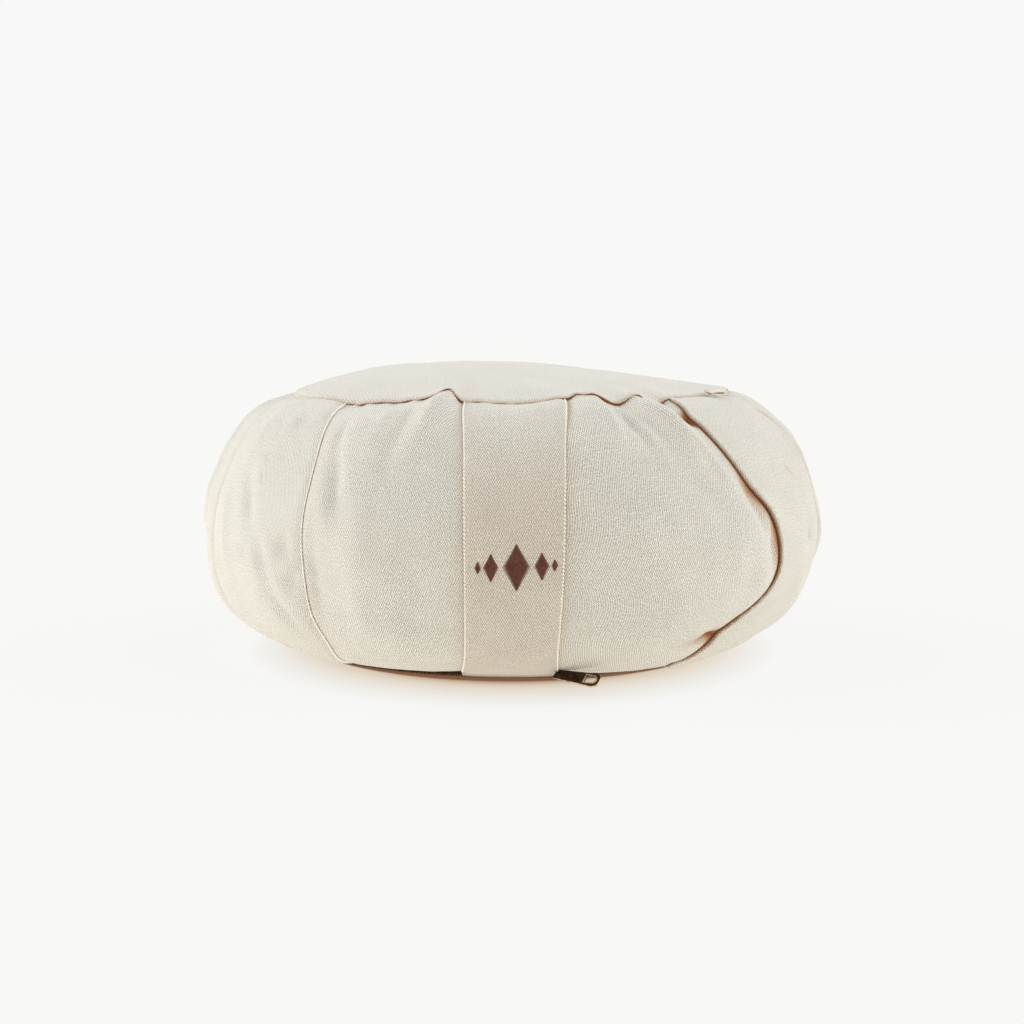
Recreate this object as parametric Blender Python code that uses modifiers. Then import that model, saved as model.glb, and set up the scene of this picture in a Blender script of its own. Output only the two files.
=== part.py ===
"""A round zafu: a firmly filled canvas cushion with six raised wall strips and a zip in its foot.

Metres, +Z up, resting on z = 0. The front faces -Y. An azimuth is in degrees around the
cushion, 0 at the front and growing towards +X. On the wall, "down" runs from 0 at the top
seam to 1 at the bottom seam, and "push" is how far the cloth stands out from the plain curve.
"""

import math

import bmesh
import bpy
from mathutils import Vector

# Filled body
SEAM_RADIUS = 0.128
TOP_SEAM_HEIGHT = 0.1495
BOTTOM_SEAM_HEIGHT = 0.0075
SEAM_TILT = 0.0007
WALL_BULGE = 0.0455
WALL_FULLNESS = 1.08
WALL_SLIMMER_RIGHT = 0.22
WALL_SAG = 0.0085
CROWN = 0.0158
CROWN_FULLNESS = 0.95
CROWN_LEAN = 0.42
BASE_RADIUS = 0.112
SEAM_GROOVE_DEPTH = 0.0036
SEAM_GROOVE_HALF = 0.0016
GORE_BULGE = 0.0055
GORE_FULLNESS = 0.65
GATHER_INTO_PANEL = 10
TOP_PANEL_RINGS = (0.22, 0.44, 0.63, 0.79, 0.91, 0.98, 1.0)
FLAT_SHARE = BASE_RADIUS / SEAM_RADIUS
BOTTOM_PANEL_RINGS = (0.99, (1 + FLAT_SHARE) / 2, FLAT_SHARE, FLAT_SHARE / 2)

# Wall strips
STRIP_THICKNESS = 0.0018
STRIP_GAP = 0.0004
STRIP_TOP = 0.03
STRIP_FOOT = 0.985
STRIP_COLUMNS = 5
GORE_COLUMNS = 9
WALL_ROWS = 20

# Zip
CHAIN_RADIUS = 0.0011
CHAIN_SEAT = 0.0008
CHAIN_START = -46.0
CHAIN_END = 57.0
CHAIN_POINTS = 53
SLIDER_AZIMUTH = 13.0
SLIDER_SIZE = (0.0080, 0.0048, 0.0040)
SLIDER_SINK = 0.0017
SLIDER_ROUNDING = 0.0009
PULL_LENGTH = 0.0255
PULL_WIDTH = 0.0090
PULL_THICKNESS = 0.0014
PULL_EYE_WIDTH = 0.0038
PULL_EYE_LENGTH = 0.0052
PULL_RIM = 0.0018
PULL_CORNER = 0.0035
PULL_EYE_CORNER = 0.0018
PULL_START = (0.0245, -0.1382, 0.0058)
PULL_ROLL = 20.0
PULL_DROP = 5.0
PULL_TURN = -2.0

# Tab in the top seam
TAB_AZIMUTH = 58.5
TAB_SIZE = (0.0200, 0.0052, 0.0014)
TAB_RADIUS = 0.1312
TAB_RISE = 0.0038
TAB_TILT = 18.0
TAB_ROUNDING = 0.0004

# The azimuths of each strip's left and right edges, at five even steps from the top seam to the
# bottom seam, and how far the wall under it stands out half way down.
STRIPS = (
    # name, left edge, right edge, stand out
    ("band_front", (-11.3, -8.8, -7.9, -8.8, -11.8), (12.6, 9.8, 8.7, 8.6, 10.6), 0.000),
    ("band_right", (40.5, 41.5, 51.8, 50.5, 60.0), (69.0, 74.5, 80.0, 82.0, 85.0), 0.005),
    ("band_right_rear", (105.0, 107.0, 108.0, 107.5, 106.0), (137.0, 135.5, 135.0, 135.5, 137.0), 0.001),
    ("band_back", (168.0, 170.6, 171.5, 170.6, 168.0), (192.0, 189.4, 188.5, 189.4, 192.0), 0.000),
    ("band_left_rear", (223.0, 224.5, 225.0, 224.5, 223.0), (255.0, 252.8, 252.0, 252.5, 254.0), 0.001),
    ("band_left", (283.0, 286.0, 287.5, 286.5, 284.0), (316.0, 321.0, 321.8, 323.0, 319.5), 0.002),
)

# Gathers and creases in the open wall cloth. A height below 0 is a trough.
FOLDS = (
    # azimuth at its top, azimuth at its foot, half width in degrees, height, top, foot
    (-15.0, -17.0, 4.0, 0.0068, 0.00, 0.40),
    (-27.0, -25.0, 4.5, -0.0015, 0.00, 0.35),
    (-33.0, -29.0, 4.0, -0.0025, 0.15, 0.80),
    (17.0, 13.5, 3.5, 0.0040, 0.00, 0.45),
    (22.5, 20.0, 3.5, -0.0030, 0.02, 0.60),
    (31.0, 37.0, 3.0, 0.0032, 0.00, 0.42),
    (36.0, 46.0, 3.5, -0.0030, 0.00, 0.45),
    (55.0, 56.0, 4.0, -0.0045, 0.60, 1.00),
    (78.0, 80.0, 3.0, 0.0020, 0.00, 0.40),
    (93.0, 92.0, 4.0, 0.0030, 0.00, 0.50),
    (146.0, 148.0, 3.5, 0.0040, 0.00, 0.45),
    (158.0, 157.0, 4.0, 0.0030, 0.00, 0.40),
    (199.0, 201.0, 3.5, 0.0045, 0.00, 0.45),
    (213.0, 211.0, 4.0, 0.0025, 0.00, 0.40),
    (263.0, 264.0, 3.5, 0.0030, 0.00, 0.45),
    (274.0, 276.0, 3.5, 0.0025, 0.00, 0.40),
    (321.5, 323.5, 5.0, -0.0030, 0.35, 0.72),
)

# One strip's front edge stands off the wall as an open fold, over so many of its columns.
FOLD_STRIP = "band_right"
FOLD_COLUMNS = 2
FOLD_LIFTS = (
    # down, lift
    (0.00, 0.0000),
    (0.12, 0.0030),
    (0.30, 0.0035),
    (0.45, 0.0065),
    (0.60, 0.0040),
    (0.80, 0.0030),
    (0.92, 0.0012),
    (1.00, 0.0000),
)

# Part colours: base colour, roughness, metallic
CANVAS = ((0.80, 0.77, 0.68, 1.0), 0.9, 0.0)
STRIP_CANVAS = ((0.83, 0.80, 0.72, 1.0), 0.9, 0.0)
ZIP_COIL = ((0.16, 0.11, 0.07, 1.0), 0.6, 0.0)
DARK_BRASS = ((0.24, 0.19, 0.12, 1.0), 0.35, 1.0)
TAB_CLOTH = ((0.62, 0.58, 0.50, 1.0), 0.9, 0.0)

SECTOR_COLUMNS = STRIP_COLUMNS + GORE_COLUMNS
WALL_TOP = TOP_SEAM_HEIGHT - SEAM_GROOVE_HALF
WALL_FOOT = BOTTOM_SEAM_HEIGHT + SEAM_GROOVE_HALF
WALL_MIDDLE = (WALL_TOP + WALL_FOOT) / 2
WALL_HALF = (WALL_TOP - WALL_FOOT) / 2


def clear_scene():
    for obj in list(bpy.data.objects):
        bpy.data.objects.remove(obj, do_unlink=True)


def material(name, finish):
    colour, roughness, metallic = finish
    made = bpy.data.materials.new(name)
    made.use_nodes = True
    shader = made.node_tree.nodes["Principled BSDF"]
    shader.inputs["Base Color"].default_value = colour
    shader.inputs["Roughness"].default_value = roughness
    shader.inputs["Metallic"].default_value = metallic
    return made


def add_object(name, mesh, finish, collection):
    obj = bpy.data.objects.new(name, mesh)
    mesh.materials.append(material(name + "_finish", finish))
    collection.objects.link(obj)
    return obj


def around(azimuth, radius, height):
    """The point at an azimuth, a radius from the axis and a height."""
    angle = math.radians(azimuth)
    return Vector((radius * math.sin(angle), -radius * math.cos(angle), height))


def smooth_through(values, share):
    """The smooth curve through evenly spaced values, with share 0 at the first and 1 at the last."""
    place = share * (len(values) - 1)
    step = min(int(place), len(values) - 2)
    part = place - step
    start, end = values[step], values[step + 1]
    before = values[max(step - 1, 0)]
    after = values[min(step + 2, len(values) - 1)]
    leave, arrive = (end - before) / 2, (after - start) / 2
    return (
        start
        + leave * part
        + (3 * (end - start) - 2 * leave - arrive) * part**2
        + (2 * (start - end) + leave + arrive) * part**3
    )


def strip_edges(index, down):
    """The azimuths of a strip's two edges. Past the last strip they go on around."""
    turns, row = divmod(index, len(STRIPS))
    name, left, right, push = STRIPS[row]
    return smooth_through(left, down) + 360 * turns, smooth_through(right, down) + 360 * turns


def column_azimuth(column, down):
    """Columns follow the strips' edges: first those of a strip, then those of the cloth after it."""
    index, step = divmod(column, SECTOR_COLUMNS)
    left, right = strip_edges(index, down)
    if step <= STRIP_COLUMNS:
        return left + (right - left) * step / STRIP_COLUMNS
    following = strip_edges(index + 1, down)[0]
    return right + (following - right) * (step - STRIP_COLUMNS) / GORE_COLUMNS


def stand_out(column, down):
    """How far the wall stands out: as its strips do, and further where open cloth lies between."""
    index, step = divmod(column, SECTOR_COLUMNS)
    here = STRIPS[index % len(STRIPS)][3]
    if step <= STRIP_COLUMNS:
        return here * math.sin(math.pi * down)
    following = STRIPS[(index + 1) % len(STRIPS)][3]
    across = (step - STRIP_COLUMNS) / GORE_COLUMNS
    gore = GORE_BULGE * (4 * across * (1 - across)) ** GORE_FULLNESS
    return (here + (following - here) * across + gore) * math.sin(math.pi * down)


def fold_height(azimuth, down):
    """The gathers and creases at one place of the wall."""
    total = 0.0
    for at_top, at_foot, width, height, top, foot in FOLDS:
        if not top <= down <= foot:
            continue
        along = (down - top) / (foot - top)
        away = (azimuth - at_top - (at_foot - at_top) * along + 180) % 360 - 180
        if top == 0:
            fade = math.cos(math.pi / 2 * along) ** 2
        elif foot == 1:
            fade = math.sin(math.pi / 2 * along) ** 2
        else:
            fade = math.sin(math.pi * along) ** 2
        total += height * fade * math.exp(-((away / width) ** 2))
    return total


def under_strip(column):
    return column % SECTOR_COLUMNS <= STRIP_COLUMNS


def wall_push(column, down):
    """Strips lie smooth: only the open cloth is gathered."""
    push = stand_out(column, down)
    if not under_strip(column):
        push += fold_height(column_azimuth(column, down), down)
    return push


def wall_point(column, down, outward=0.0):
    """A point of the wall, or of a layer that lies outward of it. The fill sags half way down."""
    angle = math.pi * down
    azimuth = column_azimuth(column, down)
    push = wall_push(column, down) + outward
    fullness = WALL_FULLNESS + WALL_SLIMMER_RIGHT * max(math.sin(math.radians(azimuth)), 0) ** 2
    radius = SEAM_RADIUS + WALL_BULGE * max(math.sin(angle), 0) ** fullness
    radius += push * math.sin(angle)
    height = WALL_MIDDLE + (WALL_HALF + push) * math.cos(angle) - WALL_SAG * math.sin(angle) ** 2
    return around(azimuth, radius, height + seam_tilt(azimuth) * (1 - down))


def seam_tilt(azimuth):
    """The top seam sits a little higher towards +X."""
    return SEAM_TILT * math.sin(math.radians(azimuth))


def seam_lift(column):
    azimuth = column_azimuth(column, 0)
    gather = 0.0 if under_strip(column) else fold_height(azimuth, 0)
    return gather + seam_tilt(azimuth)


def top_panel_point(column, share):
    """The crowned top panel, share 0 at its centre and 1 at its seam."""
    edge = TOP_SEAM_HEIGHT + SEAM_GROOVE_HALF + seam_lift(column) * share**GATHER_INTO_PANEL
    lean = 1 - CROWN_LEAN * share * math.sin(math.radians(column_azimuth(column, 0)))
    height = edge + CROWN * lean * max(1 - share**2, 0) ** CROWN_FULLNESS
    return around(column_azimuth(column, 0), SEAM_RADIUS * share, height)


def bottom_panel_point(column, share):
    """The bottom panel: flat where it rests, and rising to its seam."""
    radius = SEAM_RADIUS * share
    rise = max(radius - BASE_RADIUS, 0.0) / (SEAM_RADIUS - BASE_RADIUS)
    height = (BOTTOM_SEAM_HEIGHT - SEAM_GROOVE_HALF) * rise**2
    return around(column_azimuth(column, 1), radius, height)


def body_rings():
    """The rings of the filled body from its top to its foot, each as a function of the column."""
    groove = SEAM_RADIUS - SEAM_GROOVE_DEPTH
    rings = [lambda c, s=share: top_panel_point(c, s) for share in TOP_PANEL_RINGS]
    rings.append(lambda c: around(column_azimuth(c, 0), groove, TOP_SEAM_HEIGHT + seam_lift(c)))
    rings += [lambda c, d=row / WALL_ROWS: wall_point(c, d) for row in range(WALL_ROWS + 1)]
    rings.append(lambda c: around(column_azimuth(c, 1), groove, BOTTOM_SEAM_HEIGHT))
    rings += [lambda c, s=share: bottom_panel_point(c, s) for share in BOTTOM_PANEL_RINGS]
    return rings


def add_cushion(collection):
    """A sphere whose rings are moved to the panels, the seam grooves and the wall."""
    rings = body_rings()
    columns = SECTOR_COLUMNS * len(STRIPS)
    shape = bmesh.new()
    bmesh.ops.create_uvsphere(shape, u_segments=columns, v_segments=len(rings) + 1, radius=1.0)
    for vertex in shape.verts:
        latitude = math.acos(max(-1.0, min(1.0, vertex.co.z)))
        ring = round(latitude / math.pi * (len(rings) + 1)) - 1
        column = round(math.atan2(vertex.co.x, -vertex.co.y) / math.tau * columns) % columns
        if ring < 0:
            vertex.co = top_panel_point(column, 0)
        elif ring == len(rings):
            vertex.co = bottom_panel_point(column, 0)
        else:
            vertex.co = rings[ring](column)
    mesh = bpy.data.meshes.new("cushion")
    shape.to_mesh(mesh)
    shape.free()
    mesh.shade_smooth()
    return add_object("cushion", mesh, CANVAS, collection)


def fold_lift(down):
    """The lift of the open fold, eased between the rows of its table."""
    for (above, first), (below, second) in zip(FOLD_LIFTS, FOLD_LIFTS[1:]):
        if down <= below:
            share = (down - above) / (below - above)
            return first + (second - first) * (1 - math.cos(math.pi * share)) / 2
    return FOLD_LIFTS[-1][1]


def add_strip(index, collection):
    """A wall strip: a grid laid on the wall's own columns and rows, then given its thickness."""
    name = STRIPS[index][0]
    shape = bmesh.new()
    bmesh.ops.create_grid(shape, x_segments=STRIP_COLUMNS, y_segments=WALL_ROWS, size=1.0)
    for vertex in shape.verts:
        step = round((vertex.co.x + 1) / 2 * STRIP_COLUMNS)
        row = round((1 - vertex.co.y) / 2 * WALL_ROWS)
        down = min(max(row / WALL_ROWS, STRIP_TOP), STRIP_FOOT)
        lift = STRIP_GAP
        if name == FOLD_STRIP and step < FOLD_COLUMNS:
            lift += fold_lift(down) * (1 - step / FOLD_COLUMNS)
        vertex.co = wall_point(index * SECTOR_COLUMNS + step, down, lift)
    mesh = bpy.data.meshes.new(name)
    shape.to_mesh(mesh)
    shape.free()
    mesh.shade_smooth()
    strip = add_object(name, mesh, STRIP_CANVAS, collection)
    layer = strip.modifiers.new("Thickness", "SOLIDIFY")
    layer.thickness = STRIP_THICKNESS
    layer.offset = 1.0
    return strip


def add_zip_chain(collection):
    """The closed zip, a dark cord in the groove of the bottom seam."""
    curve = bpy.data.curves.new("zip_chain", "CURVE")
    curve.dimensions = "3D"
    curve.bevel_depth = CHAIN_RADIUS
    curve.bevel_resolution = 1
    curve.use_fill_caps = True
    spline = curve.splines.new("POLY")
    spline.points.add(CHAIN_POINTS - 1)
    for step, point in enumerate(spline.points):
        azimuth = CHAIN_START + (CHAIN_END - CHAIN_START) * step / (CHAIN_POINTS - 1)
        place = around(azimuth, SEAM_RADIUS - CHAIN_SEAT, BOTTOM_SEAM_HEIGHT)
        point.co = (*place, 1.0)
    return add_object("zip_chain", curve, ZIP_COIL, collection)


def add_block(name, size, rounding, finish, collection):
    """A block of a given size with rounded edges, its origin at its centre."""
    shape = bmesh.new()
    bmesh.ops.create_cube(shape, size=1.0)
    bmesh.ops.scale(shape, vec=size, verts=shape.verts)
    mesh = bpy.data.meshes.new(name)
    shape.to_mesh(mesh)
    shape.free()
    block = add_object(name, mesh, finish, collection)
    bevel = block.modifiers.new("Rounded", "BEVEL")
    bevel.width = rounding
    bevel.segments = 2
    return block


def add_zip_slider(collection):
    """The slider sits outside the chain, beside the front strip's foot."""
    slider = add_block("zip_slider", SLIDER_SIZE, SLIDER_ROUNDING, DARK_BRASS, collection)
    inner = SEAM_RADIUS - CHAIN_SEAT + CHAIN_RADIUS + STRIP_GAP
    height = BOTTOM_SEAM_HEIGHT - SLIDER_SINK
    slider.location = around(SLIDER_AZIMUTH, inner + SLIDER_SIZE[1] / 2, height)
    slider.rotation_euler = (0, 0, math.radians(SLIDER_AZIMUTH))
    return slider


def add_outline(curve, points):
    spline = curve.splines.new("POLY")
    spline.points.add(len(points) - 1)
    for point, (along, across) in zip(spline.points, points):
        point.co = (along, across, 0, 1)
    spline.use_cyclic_u = True


def rounded_end(start, end, half_width, corner, steps=5):
    """A tongue from start to end along X, its far corners rounded."""
    points = [(start, -half_width)]
    for side in (-1, 1):
        for step in range(steps + 1):
            turn = math.pi / 2 * (step / steps if side < 0 else 1 - step / steps)
            along = end - corner + corner * math.sin(turn)
            across = side * (half_width - corner + corner * math.cos(turn))
            points.append((along, across))
    points.append((start, half_width))
    return points


def add_zip_pull(collection):
    """The pull, a flat plate with a D-shaped eye in its free end, resting beside the slider."""
    curve = bpy.data.curves.new("zip_pull", "CURVE")
    curve.dimensions = "2D"
    curve.fill_mode = "BOTH"
    curve.extrude = PULL_THICKNESS / 2
    add_outline(curve, rounded_end(0, PULL_LENGTH, PULL_WIDTH / 2, PULL_CORNER))
    eye_end = PULL_LENGTH - PULL_RIM
    add_outline(curve, rounded_end(eye_end - PULL_EYE_LENGTH, eye_end, PULL_EYE_WIDTH / 2, PULL_EYE_CORNER))
    pull = add_object("zip_pull", curve, DARK_BRASS, collection)
    pull.location = PULL_START
    pull.rotation_euler = tuple(math.radians(turn) for turn in (PULL_ROLL, PULL_DROP, PULL_TURN))
    return pull


def add_seam_tab(collection):
    """The short folded tab caught in the top seam, lying outwards over the right strip."""
    tab = add_block("seam_tab", TAB_SIZE, TAB_ROUNDING, TAB_CLOTH, collection)
    tab.location = around(TAB_AZIMUTH, TAB_RADIUS, TOP_SEAM_HEIGHT + TAB_RISE)
    tab.rotation_euler = (math.radians(-TAB_TILT), 0, math.radians(TAB_AZIMUTH))
    return tab


clear_scene()
zafu = bpy.data.collections.new("zafu")
bpy.context.scene.collection.children.link(zafu)
add_cushion(zafu)
for strip_index in range(len(STRIPS)):
    add_strip(strip_index, zafu)
add_zip_chain(zafu)
add_zip_slider(zafu)
add_zip_pull(zafu)
add_seam_tab(zafu)
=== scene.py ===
"""The looks of a round zafu: unbleached cotton canvas over a firm hull filling.

Metres, +Z up, resting on z = 0, the front facing -Y. An azimuth is in degrees around the cushion,
0 at the front and growing towards +X. On the wall, "down" is 0 at the top seam and 1 at the foot.
"""

import math

import bpy
import numpy as np
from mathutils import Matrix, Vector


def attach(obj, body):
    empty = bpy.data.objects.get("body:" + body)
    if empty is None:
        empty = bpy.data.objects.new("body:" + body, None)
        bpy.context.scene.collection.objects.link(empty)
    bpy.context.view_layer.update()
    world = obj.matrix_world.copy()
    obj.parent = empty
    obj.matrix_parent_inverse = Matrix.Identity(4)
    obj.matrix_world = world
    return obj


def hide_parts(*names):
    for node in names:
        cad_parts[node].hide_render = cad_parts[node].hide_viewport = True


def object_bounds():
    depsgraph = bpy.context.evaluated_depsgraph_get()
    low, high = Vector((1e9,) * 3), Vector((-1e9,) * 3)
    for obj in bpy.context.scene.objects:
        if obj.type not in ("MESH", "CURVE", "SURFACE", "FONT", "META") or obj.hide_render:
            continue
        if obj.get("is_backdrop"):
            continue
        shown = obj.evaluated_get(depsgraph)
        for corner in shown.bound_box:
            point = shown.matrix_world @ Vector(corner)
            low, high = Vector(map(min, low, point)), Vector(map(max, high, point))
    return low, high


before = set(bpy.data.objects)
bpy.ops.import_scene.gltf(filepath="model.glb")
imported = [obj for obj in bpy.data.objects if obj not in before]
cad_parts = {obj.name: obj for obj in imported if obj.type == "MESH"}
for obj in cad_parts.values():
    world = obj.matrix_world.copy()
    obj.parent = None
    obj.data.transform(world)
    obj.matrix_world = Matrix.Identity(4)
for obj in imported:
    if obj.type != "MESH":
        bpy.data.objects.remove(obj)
cad_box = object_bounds()
bpy.ops.object.select_all(action="DESELECT")


# ----------
# The studio: a seamless pale floor under a soft white surround, one large diffuser on each side
# and a little behind, so the ends and the top of the cushion are brighter than its front.
# ----------
CAMERA_PLACE = (0.0, -1.0, 0.1925)
CAMERA_PITCH = 6.53
CAMERA_LENS, CAMERA_SENSOR = 59.34, 36.0
FLOOR_RADIUS = 14.0
SURROUND = "#f8f8f8"
AMBIENT = "#b1ada5"
FLOOR_WHITE = "#e6e4e0"
FLOOR_GLOW = 0.90
FLOOR_LIFT = 0.60
FLOOR_POWER = 1.5
LEFT_REFLECTOR = (-0.45, 2.0)  # where the paper glows most, and how strongly
FLOOR_BOUNCE = "#fbf3e6"
DIFFUSERS = (
    # azimuth, elevation, strength, spread
    (-101.0, 27.0, 2.75, 80.0),
    (97.0, 31.0, 2.40, 80.0),
)
# A contact shadow painted into the floor round the cushion's foot: warm brown at the cotton, fading out to
# the even paper.
PAINTED_CONTACT_SHADOW = (
    # metres from the middle of the floor, and the painted contact shadow's colour there, fading out to the
    # even paper
    (0.108, "#8a6038"),
    (0.115, "#cdb79b"),
    (0.121, "#e2d4c2"),
    (0.131, "#ece1d3"),
    (0.150, "#f0eee9"),
    (0.172, "#f8f8f7"),
)
PAINTED_SHADOW_OVAL = (1.09, 0.97, 1.0)


def linear(hex_colour, alpha=1.0):
    """An sRGB hex colour as linear RGBA."""
    parts = [int(hex_colour[i : i + 2], 16) / 255 for i in (1, 3, 5)]
    return (*[c / 12.92 if c <= 0.04045 else ((c + 0.055) / 1.055) ** 2.4 for c in parts], alpha)


def add(tree, kind, sockets=(), **settings):
    """Adds a node. Sockets gives its inputs, by name or in order: values, or what feeds them."""
    made = tree.nodes.new("ShaderNode" + kind)
    for name, value in settings.items():
        setattr(made, name, value)
    for key, value in (sockets if isinstance(sockets, dict) else dict(enumerate(sockets))).items():
        if isinstance(value, bpy.types.Node):
            value = value.outputs[0]
        if isinstance(value, bpy.types.NodeSocket):
            tree.links.new(value, made.inputs[key])
        else:
            made.inputs[key].default_value = value
    return made


def new_material(name):
    """An empty material with its output, and its node tree."""
    made = bpy.data.materials.new(name)
    made.use_nodes = True
    made.node_tree.nodes.clear()
    return made, made.node_tree


def finish_material(tree, shader):
    add(tree, "OutputMaterial", {"Surface": shader})


bpy.ops.object.camera_add(location=CAMERA_PLACE, rotation=(math.radians(90 - CAMERA_PITCH), 0, 0))
camera = bpy.context.object
camera.data.lens = CAMERA_LENS
camera.data.sensor_width = CAMERA_SENSOR
bpy.context.scene.camera = camera
bpy.context.scene.view_settings.view_transform = "Standard"

world = bpy.data.worlds.new("soft_surround")
bpy.context.scene.world = world
world.use_nodes = True
tree = world.node_tree
tree.nodes.clear()
ambient = add(tree, "Background", {"Color": linear(AMBIENT)})
seen = add(tree, "Background", {"Color": linear(SURROUND)})
to_camera = add(tree, "LightPath").outputs["Is Camera Ray"]
add(tree, "OutputWorld", {"Surface": add(tree, "MixShader", {0: to_camera, 1: ambient, 2: seen})})

for azimuth, elevation, strength, spread in DIFFUSERS:
    tip, turn = math.radians(90 - elevation), math.radians(azimuth)
    bpy.ops.object.light_add(type="SUN", rotation=(tip, 0, turn))
    diffuser = bpy.context.object.data
    diffuser.energy, diffuser.angle = strength, math.radians(spread)

bpy.ops.mesh.primitive_circle_add(vertices=128, radius=FLOOR_RADIUS, fill_type="NGON")
floor = bpy.context.object
floor.name = "floor"
# Matt white paper, lit from below as well: its shadows are faint. Close to the cotton a warm contact
# shadow is painted into the colour the camera sees.
floor_paper, tree = new_material("white_paper_with_painted_contact_shadow")
place = add(tree, "TexCoord").outputs["Object"]
oval = add(tree, "VectorMath", (place, PAINTED_SHADOW_OVAL), operation="MULTIPLY")
away = add(tree, "VectorMath", (oval,), operation="LENGTH").outputs["Value"]
far = add(tree, "MapRange", {0: away, 1: PAINTED_CONTACT_SHADOW[0][0], 2: PAINTED_CONTACT_SHADOW[-1][0]})
warm = add(tree, "ValToRGB", {0: far})
for stop, (radius, colour) in enumerate(PAINTED_CONTACT_SHADOW):
    position = (radius - PAINTED_CONTACT_SHADOW[0][0]) / (PAINTED_CONTACT_SHADOW[-1][0] - PAINTED_CONTACT_SHADOW[0][0])
    if stop in (0, len(PAINTED_CONTACT_SHADOW) - 1):
        element = warm.color_ramp.elements[0 if stop == 0 else -1]
    else:
        element = warm.color_ramp.elements.new(position)
    element.color = linear(colour)
paper = add(tree, "BsdfDiffuse", {"Color": linear(FLOOR_WHITE)})
to_camera = add(tree, "LightPath").outputs["Is Camera Ray"]
across = add(tree, "SeparateXYZ", {0: place})
reflected = {0: across, 1: LEFT_REFLECTOR[0], 2: 0.0, 3: LEFT_REFLECTOR[1], 4: FLOOR_POWER}
reflected = add(tree, "MapRange", reflected)
power = add(tree, "MapRange", {0: to_camera, 3: reflected, 4: 1.0})
# The camera sees the painted contact shadow; other rays see the even warm bounce colour.
cast = add(tree, "Mix", {0: to_camera, 6: linear(FLOOR_BOUNCE), 7: warm}, data_type="RGBA")
glow = add(tree, "Emission", {"Color": cast.outputs[2], "Strength": power})
share = add(tree, "MapRange", {0: to_camera, 3: FLOOR_LIFT, 4: FLOOR_GLOW})
finish_material(tree, add(tree, "MixShader", {0: share, 1: paper, 2: glow}))
floor.data.materials.append(floor_paper)
floor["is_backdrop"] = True


# ----------
# The filled body: two round panels and the wall between them, one cotton canvas, sewn at a top and
# a bottom seam and packed tight with hulls. The open cloth between the strips is gathered into the
# seams. It is blown up by cloth simulation on a coarse copy, and the seams are drawn in after it.
# ----------
SEAM_RADIUS = 0.128
TOP_SEAM_HEIGHT = 0.1495
FOOT_SEAM_HEIGHT = 0.0075
SEAM_TILT = 0.0007
WALL_BULGE = 0.0455
WALL_FULLNESS = 1.08
WALL_SLIMMER_RIGHT = 0.22
WALL_SAG, WALL_SAG_LEFT = 0.0085, 0.0028
WALL_LENGTH = 0.195
WALL_RADIUS, WALL_DROP = 0.17, 0.15
CROWN = 0.0158
CROWN_FULLNESS = 0.95
CROWN_LEAN = 0.42
BASE_RADIUS = 0.112
GROOVE_DEPTH = 0.0036
TOP_GROOVE = 0.0016
GROOVE_HALF = 0.0016
GORE_BULGE = 0.0055
GORE_FULLNESS = 0.65
GATHER_INTO_PANEL = 10
STRIP_STEPS, GORE_STEPS = 5, 9
SECTOR_STEPS = STRIP_STEPS + GORE_STEPS
WALL_TOP = TOP_SEAM_HEIGHT - GROOVE_HALF
WALL_FOOT = FOOT_SEAM_HEIGHT + GROOVE_HALF
STRIPS = (
    # name, left edge and right edge from top to foot, how far the wall under it stands out
    ("band_front", (-11.3, -8.8, -7.9, -8.8, -11.8), (12.6, 9.8, 8.7, 8.6, 10.6), 0.000),
    ("band_right", (40.5, 41.5, 51.8, 50.5, 60.0), (69.0, 74.5, 80.0, 82.0, 85.0), 0.005),
    ("band_right_rear", (105, 107, 108, 107.5, 106), (137, 135.5, 135, 135.5, 137), 0.001),
    ("band_back", (168.0, 170.6, 171.5, 170.6, 168.0), (192.0, 189.4, 188.5, 189.4, 192.0), 0.000),
    ("band_left_rear", (223, 224.5, 225, 224.5, 223), (255, 252.8, 252, 252.5, 254), 0.001),
    ("band_left", (283.0, 286.0, 287.5, 286.5, 284.0), (316.0, 321.0, 321.8, 323.0, 319.5), 0.002),
)
FOLDS = (
    # azimuth at top and foot, half width, height, top, foot
    (-15.0, -17.0, 4.0, 0.0068, 0.00, 0.40),
    (-27.0, -25.0, 4.5, -0.0015, 0.00, 0.35),
    (-33.0, -29.0, 4.0, -0.0025, 0.15, 0.80),
    (15.0, 12.5, 2.6, 0.0030, 0.00, 0.40),
    (19.3, 16.0, 2.6, 0.0036, 0.00, 0.45),
    (25.8, 22.0, 3.2, -0.0022, 0.00, 0.50),
    (31.0, 37.0, 3.0, 0.0032, 0.00, 0.42),
    (36.0, 46.0, 3.5, -0.0030, 0.00, 0.45),
    (55.0, 56.0, 4.0, -0.0045, 0.60, 1.00),
    (78.0, 80.0, 3.0, 0.0020, 0.00, 0.40),
    (93.0, 92.0, 4.0, 0.0030, 0.00, 0.50),
    (146.0, 148.0, 3.5, 0.0040, 0.00, 0.45),
    (158.0, 157.0, 4.0, 0.0030, 0.00, 0.40),
    (199.0, 201.0, 3.5, 0.0045, 0.00, 0.45),
    (213.0, 211.0, 4.0, 0.0025, 0.00, 0.40),
    (263.0, 264.0, 3.5, 0.0030, 0.00, 0.45),
    (274.0, 276.0, 3.5, 0.0025, 0.00, 0.40),
    (321.5, 323.5, 5.0, -0.0030, 0.35, 0.72),
)
SEAM_SWAYS = (
    # azimuth, half width in degrees, rise
    (0.0, 6.5, -0.0012),
    (11.5, 4.0, 0.0016),
    (-24.0, 5.0, 0.0016),
    (-41.0, 7.0, -0.0024),
    (38.0, 4.0, -0.0006),
    (-90.0, 26.0, -0.0024),
    (90.0, 24.0, -0.0024),
    (121.0, 9.0, -0.0010),
    (180.0, 7.0, -0.0012),
    (238.0, 8.0, -0.0010),
)
OPEN_FOLD = 1
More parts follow.
